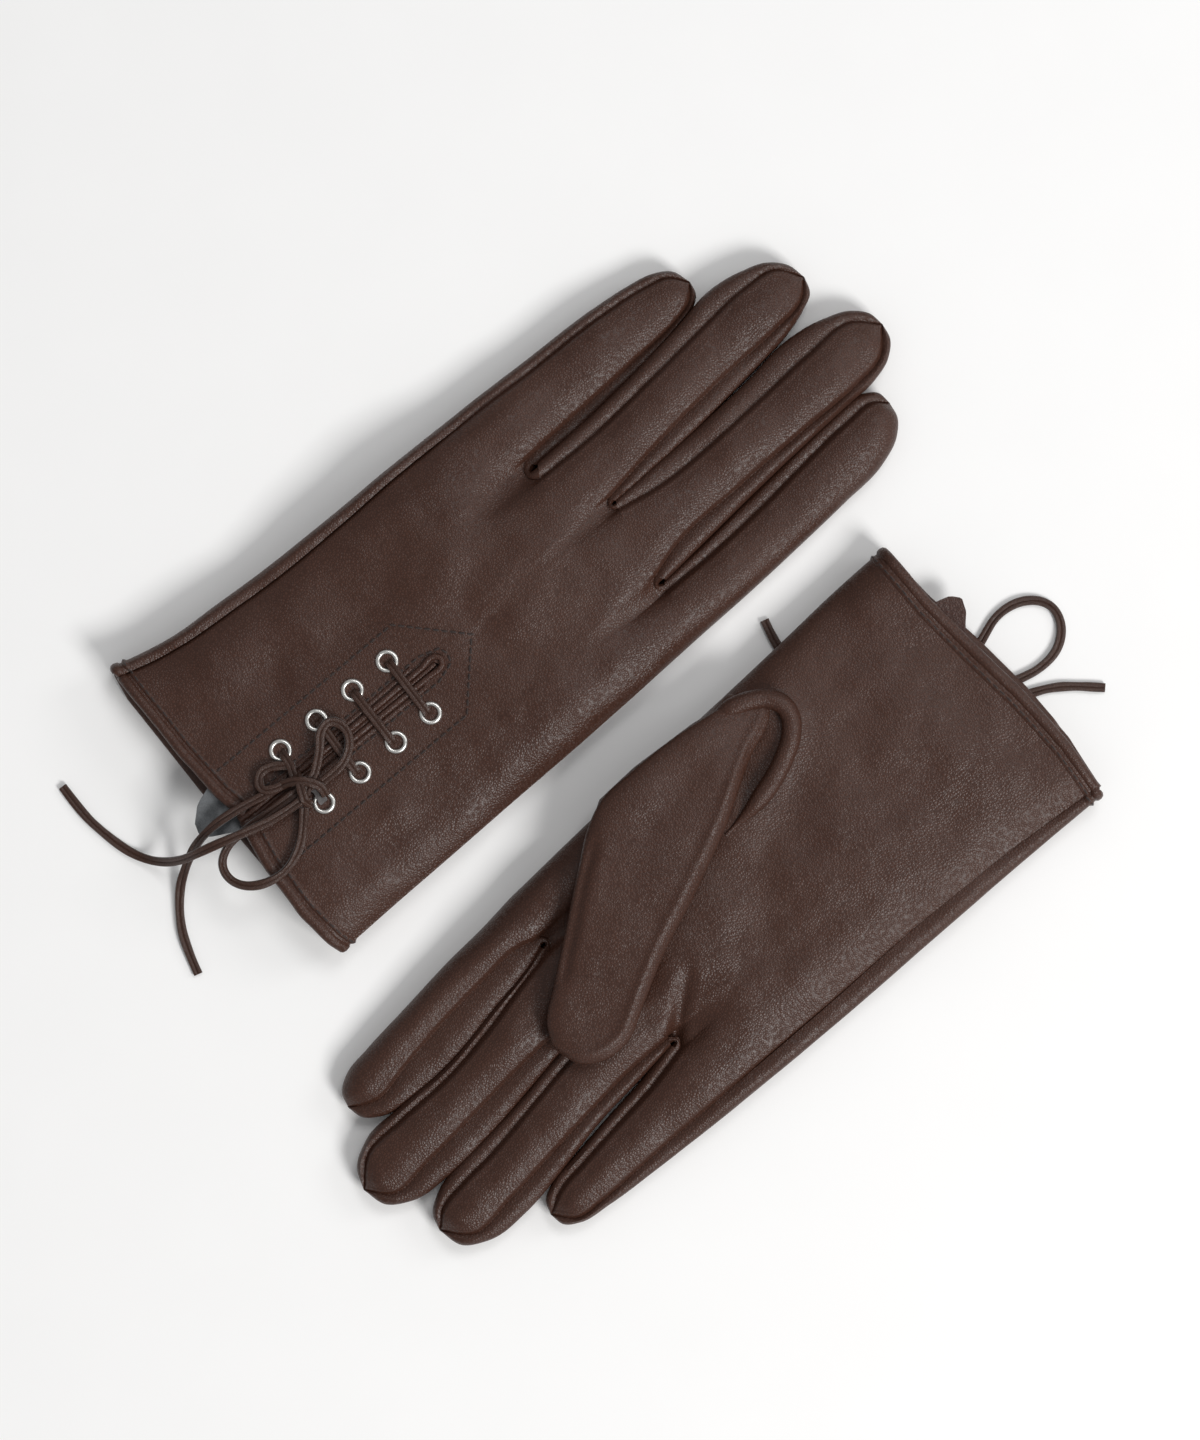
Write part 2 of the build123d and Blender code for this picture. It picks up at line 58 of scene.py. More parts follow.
# ---------------------------------------------------------------- numbers that shape the leather
SKIN = 1.1  # thickness of the leather
TIP_ROUND = 11.0  # length over which a fingertip closes
FINGER_ROWS, TOP_COLUMNS, SIDE_COLUMNS = 84, 26, 12
HAND_ROWS, GAP_COLUMNS = 150, 7
SEAM_DEPTH, SEAM_WIDTH = 0.75, 0.65  # the groove along a seam
SEAM_ROLL, ROLL_AWAY, ROLL_WIDTH = 0.3, 1.35, 0.75  # the roll of leather beside the groove
SEAM_HEIGHT = 0.60  # a seam's height between the finger's middle and its crown
UNDER_SEAM = 0.35  # how far the lower seam stands out, between the upper seam and the outline
MIDDLE = 0.48  # the height of a finger's or a hand's middle, as a share of its crown
EDGE_RADIUS = 8.0
TOUCH, TOUCH_END = 0.95, 0.95  # how far neighbouring fingers press together, and up to what share of them
SLIT_Y, SLIT_Z = 48.0, 18.0  # the left slit, in which both gloves' lacing is drawn


# ---------------------------------------------------------------- small maths
def smooth(x):
    """0 to 1 with flat ends."""
    x = np.clip(x, 0.0, 1.0)
    return x * x * (3 - 2 * x)


def through(points, t):
    """Points along a smooth curve through the given ones, at shares t of its chord length."""
    p = np.array(points, float)
    gaps = np.sqrt((np.diff(p, axis=0) ** 2).sum(1))
    s = np.concatenate([[0], np.cumsum(gaps)])
    slopes = np.diff(p, axis=0) / gaps[:, None]
    tangents = np.empty_like(p)
    tangents[0], tangents[-1] = slopes[0], slopes[-1]
    share = gaps[:-1] / (gaps[:-1] + gaps[1:])
    tangents[1:-1] = slopes[:-1] * (1 - share)[:, None] + slopes[1:] * share[:, None]
    at = np.clip(t, 0, 1) * s[-1]
    i = np.clip(np.searchsorted(s, at, side="right") - 1, 0, len(gaps) - 1)
    h = ((at - s[i]) / gaps[i])[:, None]
    g = gaps[i][:, None]
    a, b, m, n = p[i], p[i + 1], tangents[i] * g, tangents[i + 1] * g
    return (
        (2 * h**3 - 3 * h**2 + 1) * a
        + (h**3 - 2 * h**2 + h) * m
        + (-2 * h**3 + 3 * h**2) * b
        + (h**3 - h**2) * n
    )


def level(values, t):
    """A smooth value along 0 to 1 from (share, value) pairs."""
    shares = np.array([v[0] for v in values], float)
    heights = np.array([v[1] for v in values], float)
    i = np.clip(np.searchsorted(shares, t, side="right") - 1, 0, len(shares) - 2)
    h = smooth((t - shares[i]) / (shares[i + 1] - shares[i]))
    return heights[i] * (1 - h) + heights[i + 1] * h


def line_distance(x, y, line):
    """How far x, y is from a broken line, and the share of the line at the nearest place."""
    best, share = np.full(np.shape(x), 1e9), np.zeros(np.shape(x))
    lengths = [math.dist(a, b) for a, b in zip(line, line[1:])]
    total, done = sum(lengths), 0.0
    for (ax, ay), (bx, by), length in zip(line, line[1:], lengths):
        t = np.clip(((x - ax) * (bx - ax) + (y - ay) * (by - ay)) / length**2, 0, 1)
        d = np.hypot(x - ax - t * (bx - ax), y - ay - t * (by - ay))
        nearer = d < best
        best = np.where(nearer, d, best)
        share = np.where(nearer, (done + t * length) / total, share)
        done += length
    return best, share


def ripple(x, y, size, seed):
    """Soft unevenness of about -1 to 1, the same each run."""
    flat = np.stack([np.ravel(x) / size, np.ravel(y) / size], 1)
    found = [noise.noise(Vector((px, py, seed * 7.3))) for px, py in flat]
    return np.array(found).reshape(np.shape(x)) * 1.6


def directions(path):
    """Unit vectors along a path."""
    tangents = np.gradient(path, axis=0)
    return tangents / np.linalg.norm(tangents, axis=1, keepdims=True)


def crowded(count):
    """Shares from 0 to 1 that crowd together at both ends."""
    return 0.5 - 0.5 * np.cos(np.linspace(0, math.pi, count))


def rounded(share, tip):
    """The fullness along a finger: 1, and round to 0 over the share tip at its end."""
    start = 1 - tip
    return np.sqrt(1 - np.clip((share - start) / (1 - start), 0, 1) ** 2)


# ---------------------------------------------------------------- meshes
def rungs(a, b, across):
    """The x and y of a grid between two outlines."""
    return a[:, None, :] * (1 - across)[None, :, None] + b[:, None, :] * across[None, :, None]


def raised(xy, z):
    """A grid of points from its x and y and its heights."""
    return np.concatenate([xy, z[:, :, None]], axis=2)


def normals_of(grid):
    """Unit normals of a grid of points, rows by columns."""
    along, across = np.gradient(grid, axis=0), np.gradient(grid, axis=1)
    n = np.cross(across, along)
    size = np.linalg.norm(n, axis=2, keepdims=True)
    return n / np.where(size < 1e-9, 1, size)


def add_object(name, data):
    """A new object in the scene."""
    made = bpy.data.objects.new(name, data)
    bpy.context.scene.collection.objects.link(made)
    return made


def joined(parts):
    """Several (points, faces, suede faces) as one. The suede faces may be left out."""
    points, faces, suede, start = [], [], [], 0
    for some_points, some_faces, *rest in parts:
        if rest:
            suede += [len(faces) + k for k in rest[0]]
        faces += [tuple(v + start for v in f) for f in some_faces]
        points.append(np.asarray(some_points, float))
        start += len(some_points)
    return np.concatenate(points), faces, suede


def mesh_object(name, parts, slot, material=None, sharp_deg=50):
    """A piece from parts in millimetres, with its slot's material or the given one.

    Coincident points are joined and smooth shading is set.
    """
    points, faces, suede = joined(parts)
    mesh = bpy.data.meshes.new(name)
    mesh.from_pydata((points * MM).tolist(), [], faces)
    mesh.materials.append(material or MATERIALS[slot])
    if suede:
        mesh.materials.append(CUT_SUEDE)
        for k in suede:
            mesh.polygons[k].material_index = 1
    bm = bmesh.new()
    bm.from_mesh(mesh)
    bmesh.ops.remove_doubles(bm, verts=bm.verts, dist=2e-6)
    bmesh.ops.dissolve_degenerate(bm, edges=bm.edges, dist=1e-7)
    bmesh.ops.recalc_face_normals(bm, faces=bm.faces)
    bm.to_mesh(mesh)
    bm.free()
    mesh.shade_smooth()
    mesh.set_sharp_from_angle(angle=math.radians(sharp_deg))
    piece = add_object(name, mesh)
    return piece


def settle(piece, body, node=None):
    """A piece rides its body, and replaces a node of the CAD where one is named."""
    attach(piece, body)
    if node:
        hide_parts(node)
    return piece


def sheet_faces(rows, columns, keep=None):
    """Quads of a grid. keep says which cells stay."""
    faces = []
    for i in range(rows - 1):
        for j in range(columns - 1):
            if keep is None or keep[i, j]:
                a = i * columns + j
                faces.append((a, a + 1, a + columns + 1, a + columns))
    return faces


def ring_faces(rings, count, wrap=False):
    """Quads between rings of count points. Two faces close the ends, or the last ring joins the first."""
    faces = []
    for i in range(rings if wrap else rings - 1):
        a, b = i * count, (i + 1) % rings * count
        faces += [(a + j, a + (j + 1) % count, b + (j + 1) % count, b + j) for j in range(count)]
    if not wrap:
        faces += [tuple(range(count)), tuple(range((rings - 1) * count, rings * count))]
    return faces


def ring_part(grid, wrap=False):
    """Points and faces of a grid whose rows are rings."""
    return grid.reshape(-1, 3), ring_faces(*grid.shape[:2], wrap)


def shell(outer, inner, keep=None):
    """Points and faces of a closed sheet between two grids."""
    count = outer.shape[0] * outer.shape[1]
    outside = sheet_faces(*outer.shape[:2], keep)
    inside = [tuple(v + count for v in reversed(f)) for f in outside]
    edges = dict.fromkeys(edge for f in outside for edge in zip(f, f[1:] + f[:1]))
    rim = [(b, a, a + count, b + count) for a, b in edges if (b, a) not in edges]
    return np.concatenate([outer.reshape(-1, 3), inner.reshape(-1, 3)]), outside + inside + rim


def skin(grid, centre, thickness=SKIN, keep=None):
    """A closed leather sheet with its outer face on the grid, which lies round a centre line.

    thickness is a number, or one for each row.
    """
    normals = normals_of(grid)
    inward = 1.0 if np.sum(normals * (grid - centre[:, None, :])) > 0 else -1.0
    depth = np.broadcast_to(thickness, len(grid))[:, None, None]
    return shell(grid, grid - inward * depth * normals, keep)


def carried(points, turn_y, turn_z):
    """Points carried through the point (0, turn_y / 2, turn_z / 2), as from one glove to the other."""
    p = np.asarray(points, float)
    return np.stack([-p[..., 0], turn_y - p[..., 1], turn_z - p[..., 2]], -1)


# ---------------------------------------------------------------- outlines of the fingers
FLAT_FLOOR = [(0, 0.1), (1, 0.1)]
# each finger: outline and seam on the side of the index finger (a), then of the little finger (b), and the
# height of its crown and floor along it. Where no floor is given, it is flat.
OUTLINES = {
    (LEFT, "index"): {
        "a_out": [(41.5, 3.7), (60, 4.2), (80, 5.2), (100, 6.5), (116, 8), (125, 11.8), (128.8, 16),
                  (129.8, 21)],
        "b_seam": [(41.5, 20.6), (60, 20.6), (80, 21.8), (100, 23.7), (116, 24.7), (125.5, 24.4), (129.8, 21)],
        "b_out": [(43, 23.6), (60, 24.3), (80, 25.9), (100, 27.4), (115, 28.4), (125, 28.3), (129, 25.6),
                  (129.8, 21)],
        "crown": [(0, 15.5), (0.4, 13.4), (1, 11.4)],
    },
    (LEFT, "middle"): {
        "a_out": [(43, 24), (60, 25.4), (80, 27), (100, 28.2), (120, 29), (130, 29.4), (138, 31.6),
                  (142.2, 35.4), (143.4, 40.5)],
        "a_seam": [(41.5, 26), (50, 28.6), (80, 30.6), (105, 31.1), (125, 31.4), (136, 33.2), (143.4, 40.5)],
        "b_seam": [(46, 48.6), (60, 46.2), (80, 45.8), (100, 46.8), (120, 47.8), (136, 47.2), (143.4, 40.5)],
        "b_out": [(47, 50.6), (60, 50.9), (80, 51.4), (100, 52.6), (117, 54.4), (130, 52.6), (138.5, 49.6),
                  (142.4, 45.6), (143.4, 40.5)],
        "crown": [(0, 18.9), (0.35, 16.8), (0.75, 13.6), (1, 11)],
        "floor": [(0, 7.6), (0.35, 4.6), (0.75, 1), (1, 0.1)],
    },
    (LEFT, "ring"): {
        "a_out": [(47, 51), (60, 51.6), (80, 52.8), (100, 54.8), (118, 57), (127.5, 59.2), (132.6, 61.6),
                  (134.5, 66.5)],
        "a_seam": [(46, 53), (60, 55), (80, 57.4), (100, 59), (118, 59.8), (128.5, 61.4), (134.5, 66.5)],
        "b_seam": [(34, 70.6), (50, 70.4), (80, 72.4), (100, 74.3), (118, 75.4), (128.5, 74), (134.5, 66.5)],
        "b_out": [(36, 73.9), (60, 74.9), (80, 76.7), (98, 79.2), (107, 80.8), (120, 79.5), (128.5, 76.8),
                  (133, 72.4), (134.5, 66.5)],
        "crown": [(0, 18.4), (0.35, 16.6), (0.75, 13.4), (1, 11)],
        "floor": [(0, 7.2), (0.35, 4.4), (0.75, 1), (1, 0.1)],
    },
    (LEFT, "little"): {
        "a_out": [(36, 74.3), (60, 75.3), (80, 77.1), (96, 79.7), (102.4, 80.9), (106, 83.4), (107.1, 87.5)],
        "a_seam": [(34, 77.6), (50, 78.5), (80, 79.8), (96, 81), (102.5, 82.8), (107.1, 87.5)],
        "b_seam": [(34, 98.3), (50, 97.6), (80, 96.6), (95, 95), (102.5, 92.8), (107.1, 87.5)],
        "b_out": [(34, 102), (50, 101.3), (80, 100), (92, 98.6), (99.5, 96.9), (105, 93.4), (107.1, 87.5)],
        "crown": [(0, 15.8), (0.4, 13.2), (1, 10.6)],
    },
    (RIGHT, "index"): {
        "a_out": [(-54, -19.9), (-66, -21.4), (-80, -22.5), (-100, -25), (-116, -27), (-126, -29),
                  (-130.6, -32.4), (-131.9, -37)],
        "b_seam": [(-54.5, -34.6), (-62, -32.8), (-75, -33.6), (-92, -35.4), (-110, -38.4), (-124, -40.6),
                   (-131.9, -37)],
        "b_out": [(-56, -36.8), (-62, -39.2), (-80, -42.6), (-98, -45.9), (-115, -46.5), (-125.5, -45.2),
                  (-130.6, -41.8), (-131.9, -37)],
        "crown": [(0, 14.4), (0.35, 13), (1, 10.8)],
    },
    (RIGHT, "middle"): {
        "a_out": [(-56, -37.4), (-62, -39.7), (-80, -43.2), (-100, -46.9), (-120, -47.4), (-134, -48.4),
                  (-141.4, -52.4), (-144.3, -59)],
        "a_seam": [(-55, -39.4), (-70, -42.6), (-83, -45.8), (-102, -49), (-122, -49.9), (-136, -51.3),
                   (-144.3, -59)],
        "b_seam": [(-55, -59.4), (-72, -60), (-85, -60.8), (-104, -62.9), (-125, -65), (-137.5, -65.6),
                   (-144.3, -59)],
        "b_out": [(-56, -62.6), (-72, -64.7), (-85, -66.9), (-104, -69.9), (-122, -71.3), (-135.5, -70.2),
                  (-142, -66.4), (-144.3, -59)],
        "crown": [(0, 14.2), (0.35, 13), (1, 10.8)],
    },
    (RIGHT, "ring"): {
        "a_out": [(-56, -63.2), (-74, -66), (-88, -68.8), (-105, -71), (-118, -72.1), (-127.5, -74.3),
                  (-132.8, -77.6), (-134.6, -83)],
        "a_seam": [(-55, -65.8), (-74, -69.1), (-90, -72), (-108, -75.1), (-120, -76.3), (-129, -78.2),
                   (-134.6, -83)],
        "b_seam": [(-44, -82.4), (-60, -82.8), (-75, -84.4), (-92, -86.6), (-112, -89.3), (-127, -90.2),
                   (-134.6, -83)],
        "b_out": [(-45, -84.4), (-60, -86.2), (-75, -88), (-92, -91.5), (-110, -94.7), (-125, -94.3),
                  (-132.4, -90.4), (-134.6, -83)],
        "crown": [(0, 14.2), (0.35, 13), (1, 10.8)],
    },
    (RIGHT, "little"): {
        "a_out": [(-45, -85), (-58, -88), (-72, -90), (-88, -92.5), (-99.5, -94.4), (-104.2, -96.6),
                  (-105.9, -101)],
        "a_seam": [(-44, -87.4), (-58, -90.6), (-72, -92.6), (-88, -95), (-99, -97), (-105.9, -101)],
        "b_seam": [(-44, -106.2), (-58, -106.5), (-72, -106.9), (-90, -107.4), (-100, -106.6), (-105.9, -101)],
        "b_out": [(-44, -111.8), (-58, -111.5), (-72, -111), (-90, -110), (-100.5, -108.4), (-104.8, -105.6),
                  (-105.9, -101)],
        "crown": [(0, 14), (0.35, 12.8), (1, 10.4)],
    },
}


def edge_share(distance, radius=EDGE_RADIUS, low=0.0):
    """The share of the crown's height at a distance from an edge, which itself is at the share low."""
    near = 1 - np.clip(distance / radius, 0, 1)
    return np.sqrt(1 - near**2) if low == 0 else low + (1 - low) * (1 - near**2.2)


def groove_of(distance):
    """The depth of a seam's groove at a distance from the seam, with the roll of leather beside it."""
    roll = SEAM_ROLL * np.exp(-(((distance - ROLL_AWAY) / ROLL_WIDTH) ** 2))
    return SEAM_DEPTH * np.exp(-((distance / SEAM_WIDTH) ** 2)) - roll


def pressed(out, seam, touch):
    """A finger's outline pushed out from its seam, against the next finger."""
    return out + touch * (out - seam) / np.linalg.norm(out - seam + 1e-9, axis=1, keepdims=True)


def side_wall(seam, out, middle, high, low, closing):
    """A strip's rows, from the upper seam out round the side to the lower seam."""
    turn = np.linspace(0, math.pi, SIDE_COLUMNS + 1)
    below = turn > math.pi / 2
    reach = np.where(below, UNDER_SEAM + (1 - UNDER_SEAM) * np.sin(turn), np.sin(turn) ** 0.85)
    tall = np.where(below, (middle - low)[:, None], (high - middle)[:, None])
    z = middle[:, None] + closing[:, None] * (
        tall * SEAM_HEIGHT * np.sign(np.cos(turn)) * np.abs(np.cos(turn)) ** 0.55 - groove_of(3.0 * turn)
    )
    xy = seam[:, None, :] + (out - seam)[:, None, :] * reach[None, :, None]
    return raised(xy, z)


def build_finger(side, name):
    """A finger's grids: its top, under side and walls, the depth of its grooves and its levels."""
    data = OUTLINES[side, name]
    share = 1 - (1 - np.linspace(0, 1, FINGER_ROWS)) ** 1.6
    b_seam, b_out = through(data["b_seam"], share), through(data["b_out"], share)
    a_out = through(data["a_out"], share)
    seamless = "a_seam" not in data
    a_seam = a_out if seamless else through(data["a_seam"], share)
    closing = rounded(share, TIP_ROUND / math.dist(data["b_out"][0], data["b_out"][-1]))
    crown, floor = level(data["crown"], share), level(data.get("floor", FLAT_FLOOR), share)
    middle = floor + MIDDLE * (crown - floor)
    across = crowded(TOP_COLUMNS)

    def panel(a, b, reach):
        width = np.linalg.norm(b - a, axis=1)[:, None]
        from_a, from_b = across * width, (1 - across) * width
        share_of = edge_share(from_a, low=0.0 if seamless else SEAM_HEIGHT)
        share_of = share_of * edge_share(from_b, low=SEAM_HEIGHT)
        depth = groove_of(from_b) + (0 if seamless else groove_of(from_a))
        z = middle[:, None] + reach[:, None] * share_of * closing[:, None]
        return raised(rungs(a, b, across), z), depth * closing[:, None]

    grids = {
        "levels": (middle[0], crown[0], floor[0]),
        "ends": (a_seam[0], a_out[0], b_seam[0], b_out[0]),
        "centre": np.concatenate([(a_seam + b_seam) / 2, middle[:, None]], axis=1),
        "thickness": SKIN * closing**1.5,
    }
    grids["top"], grids["groove"] = panel(a_seam, b_seam, crown - middle)
    under_a = a_seam if seamless else a_seam + UNDER_SEAM * (a_out - a_seam)
    grids["under"], _ = panel(under_a, b_seam + UNDER_SEAM * (b_out - b_seam), floor - middle)
    touch = (TOUCH * smooth((TOUCH_END - share) / 0.2))[:, None]
    if name != "little":
        b_out = pressed(b_out, b_seam, touch)
    if name != "index":
        a_out = pressed(a_out, a_seam, touch)
    grids["b_wall"] = side_wall(b_seam, b_out, middle, crown, floor, closing)
    if not seamless:
        grids["a_wall"] = side_wall(a_seam, a_out, middle, crown, floor, closing)
    return grids


# ---------------------------------------------------------------- the hand
HAND = {
    LEFT: {
        "a_edge": [(-101.5, 0.3), (-80, 0.9), (-60, 1.2), (-30, 1.8), (0, 2.3), (41.5, 3.7)],
        "b_seam": [(-101, 106.6), (-90, 103.5), (-80, 101.5), (-60, 99.7), (-45, 98.7), (-20, 98.4),
                   (0, 98.8), (34, 98.3)],
        "b_out": [(-101, 110.4), (-90, 107.5), (-80, 105.5), (-65, 104.5), (-45, 103.3), (-20, 102.6),
                  (0, 102.5), (34, 102)],
        "crown": [(0, 17.9), (0.45, 18.05), (0.74, 21), (1, 19)],
        "cuff": [(0, -1.2), (4, -2.2), (16, -3.2), (34, -2.2), (45, -0.2), (52, 1.6), (60, 0.2), (76, -0.3),
                 (112, 0)],
        "under_cuff": [(0, -1.2), (6, -2.8), (10, -3.2), (60, -3.6), (100, -2.6), (112, 0)],
    },
    RIGHT: {
        "a_edge": [(100.2, -11.4), (80, -12), (60, -13.3), (30, -15), (0, -16.4), (-20, -17.5), (-54, -19.9)],
        "b_seam": [(102.4, -107.5), (80, -106), (60, -105), (40, -104.7), (0, -105.8), (-44, -106.2)],
        "b_out": [(102.8, -110.6), (80, -110.7), (50, -111), (0, -112), (-44, -111.8)],
        "crown": [(0, 15.4), (0.5, 15.9), (0.8, 15.4), (1, 14.2)],
        "cuff": [(0, 0), (20, -0.6), (40, 0.6), (60, 2.2), (80, 2.4), (96, 1)],
        "under_cuff": [(0, 0), (20, 0.8), (40, 3), (60, 4.4), (80, 4.2), (96, 1.6)],
    },
}
WALL = {LEFT: 13.0, RIGHT: 12.0}  # how far the hand rounds over at the index side
DOME = 0.17  # how much lower the hand is towards its sides, as a share of its height
KNUCKLE_FROM = 0.82  # the share of the hand's length where it begins to follow the fingers
# soft valleys in the leather: line, depth, half width
VALLEYS = {
    LEFT: [
        ([(34, 74), (28, 73), (18, 71)], 0.7, 2.6),
        ([(46, 50.6), (40, 50.8), (30, 50)], 0.5, 2.6),
        ([(41.5, 23.4), (37, 24), (28, 25)], 0.5, 2.4),
        ([(-8, 56), (4, 66), (14, 80), (18, 92)], 1.0, 7.0),
        ([(-12, 42), (0, 34), (16, 30)], 0.9, 6.0),
        ([(-4, 48), (12, 50), (26, 44)], 0.8, 5.0),
        ([(-84, 76), (-60, 84), (-34, 86)], 0.5, 7.0),
        ([(-70, 14), (-40, 16), (-10, 12)], 0.6, 7.0),
    ],
    RIGHT: [
        ([(-43.5, -84.5), (-36, -78), (-27, -71)], 3.0, 2.1),
        ([(-54.5, -36.8), (-46, -38), (-36, -36)], 1.4, 2.6),
        ([(-52, -62), (-44, -64), (-36, -66)], 1.0, 3.0),
        ([(-36, -80), (-24, -78), (-8, -82), (6, -90)], 0.9, 5.0),
        ([(44, -46), (30, -54), (10, -60), (-8, -70)], 0.7, 6.0),
        ([(96, -50), (70, -62), (44, -74)], 0.5, 8.0),
        ([(-34, -19), (-31, -24), (-30, -30)], 1.2, 2.0),
    ],
}
# the roll on the right palm round the folded thumb's base: its line, height and half widths, and the circle
# inside which it is wider
BASE_ROLL = [(24, -17.6), (32, -18.4), (39, -20.4), (44, -23.8), (46.2, -28), (45.6, -32), (42.6, -36),
             (37, -39.8), (29.5, -43), (20, -45.4), (8, -46.8)]
ROLL_HEIGHT, ROLL_OUTSIDE, ROLL_INSIDE = 1.0, 3.2, 4.6
ROLL_CENTRE, ROLL_RADIUS = (24, -28), np.hypot(24, 13)
# room under the right hand for its lacing: x from and to, y from and to, rise
LACING_ROOM = [(8, 130, -83.5, -38.5, 4.3), (51, 67, -42, 10, 3.2)]
# the middle of the folded thumb under the left hand
LEFT_THUMB_LINE = [(-46, 15), (-20, 16), (0, 21), (20, 27.5), (40, 40), (58, 49), (70, 50)]


def dressed(grid):
    """The grid with the leather's soft unevenness, which dies away at the floor and round the left lacing."""
    x, y, z = grid[:, :, 0], grid[:, :, 1], grid[:, :, 2]
    from_lacing = np.clip(np.maximum(np.abs(y - SLIT_Y) - 17, 0) + np.maximum(x + 16, 0), 0, 8) / 8
    quiet = np.where(y > -5, 0.12 + 0.88 * from_lacing, 1.0)
    lift = 0.95 * ripple(x, y, 21.0, 1) + 0.26 * ripple(x, y, 7.5, 2) + 0.05 * ripple(x, y, 2.4, 3)
    out = grid.copy()
    out[:, :, 2] = np.maximum(z + lift * quiet * np.clip((z - 3) / 10, 0, 1), 0.05)
    return out


def raised_floor(side, x, y):
    """The height of the hand's under side: over the folded thumb, or over the lacing beneath."""
    if side == LEFT:
        away, share = line_distance(x, y, LEFT_THUMB_LINE)
        half = 13.5 + 6 * smooth(share * 2)
        return 0.1 + 7.4 * (1 - smooth((away - half) / 5))
    lift = np.full(np.shape(x), 0.1)
    for x0, x1, y0, y1, rise in LACING_ROOM:
        out = np.maximum(np.maximum(x0 - x, x - x1), np.maximum(y0 - y, y - y1))
        lift = np.maximum(lift, rise * (1 - smooth((out + 0.5) / 5)))
    return lift


def crotch_bulge(start, end, t):
    """How a crotch's edge bows back towards the cuff between its two ends."""
    back = abs(end[1] - start[1]) * (-1 if start[0] > 0 else 1)
    size = 0.36 * np.sin(math.pi * t) ** 0.7
    return np.stack([back * size, np.zeros_like(size)], 1)


def hand_levels(side, v):
    """The hand's crown and middle from the cuff to the knuckles, and how much it follows the fingers there."""
    crown = level(HAND[side]["crown"], v)
    return crown, 0.05 + MIDDLE * crown, smooth((v - KNUCKLE_FROM) / (1 - KNUCKLE_FROM))


def knuckle_row(fingers, part):
    """The fingers' first rungs in one row, with the gaps between them filled."""
    rows = []
    t = np.linspace(0, 1, GAP_COLUMNS + 2)[1:-1]
    for name, following in zip(FINGERS, FINGERS[1:] + (None,)):
        rung = fingers[name][part][0]
        rows.append(rung)
        if following:
            start, end = rung[-1], fingers[following][part][0][0]
            if rung.ndim == 1:
                rows.append(start * (1 - t) + end * t)
            else:
                gap = start * (1 - t)[:, None] + end * t[:, None]
                gap[:, :2] += crotch_bulge(start, end, t)
                rows.append(gap)
    return np.concatenate(rows)


def hand_grid(side, fingers, part):
    """The hand's top or under side, from the cuff to the knuckles, the index finger's edge first."""
    data, v = HAND[side], np.linspace(0, 1, HAND_ROWS)
    row = knuckle_row(fingers, part)
    groove = knuckle_row(fingers, "groove")
    a, b_seam, b_out = (through(data[key], v) for key in ("a_edge", "b_seam", "b_out"))
    top = part == "top"
    b = b_seam if top else b_seam + UNDER_SEAM * (b_out - b_seam)
    u = np.maximum.accumulate((row[:, 1] - row[0, 1]) / (row[-1, 1] - row[0, 1]))
    cuff = a[0] * (1 - u)[:, None] + b[0] * u[:, None]
    profile = data["cuff" if top else "under_cuff"]
    cuff[:, 0] += np.interp(np.abs(cuff[:, 1] - a[0, 1]), *zip(*profile))
    V, U = v[:, None, None], u[None, :, None]
    xy = (1 - U) * a[:, None, :] + U * b[:, None, :] + (1 - V) * cuff[None] + V * row[None, :, :2]
    xy -= (1 - U) * (1 - V) * a[0] + (1 - U) * V * a[-1] + U * (1 - V) * b[0] + U * V * b[-1]
    x, y = xy[:, :, 0], xy[:, :, 1]
    crown, middle, w = (p[:, None] for p in hand_levels(side, v))
    from_a = np.hypot(x - a[:, None, 0], y - a[:, None, 1])
    from_b = np.hypot(x - b[:, None, 0], y - b[:, None, 1])
    shape = edge_share(from_a, WALL[side]) * edge_share(from_b, 14.0, SEAM_HEIGHT)
    shape = shape * (1 - DOME * (2 * from_a / (from_a + from_b + 0.01) - 1) ** 2)
    goal = crown if top else raised_floor(side, x, y)
    z = middle + (goal - middle) * shape
    z = z * (1 - w) + row[None, :, 2] * w
    if top:
        near = smooth((v - 0.965) / 0.035)[:, None]
        z = z - np.maximum(groove[None] * near, groove_of(from_b))
        for line, depth, half in VALLEYS[side]:
            away, share = line_distance(x, y, line)
            z = z - depth * np.exp(-((away / half) ** 2)) * (1 - 0.75 * share)
        if side == RIGHT:
            away, share = line_distance(x, y, BASE_ROLL)
            inside = np.hypot(x - ROLL_CENTRE[0], y - ROLL_CENTRE[1]) < ROLL_RADIUS
            half = np.where(inside, ROLL_INSIDE, ROLL_OUTSIDE)
            ends = smooth(share * 8) * smooth((1 - share) * 3)
            z = z + ROLL_HEIGHT * np.exp(-((away / half) ** 2)) * ends
    return raised(xy, z)


def c_shape(under, top):
    """One grid from the under side round the index finger's edge to the top."""
    return np.concatenate([under[:, :0:-1], top], axis=1)


def side_strip_grid(side, fingers):
    """The strip along the hand's little-finger side."""
    v = np.linspace(0, 1, HAND_ROWS)
    seam, out = (through(HAND[side][key], v) for key in ("b_seam", "b_out"))
    crown, middle, w = hand_levels(side, v)
    ends = fingers["little"]["levels"]
    middle, high, low = (p * (1 - w) + end * w for p, end in zip((middle, crown, 0.1), ends))
    return side_wall(seam, out, middle, high, low, np.ones(HAND_ROWS))


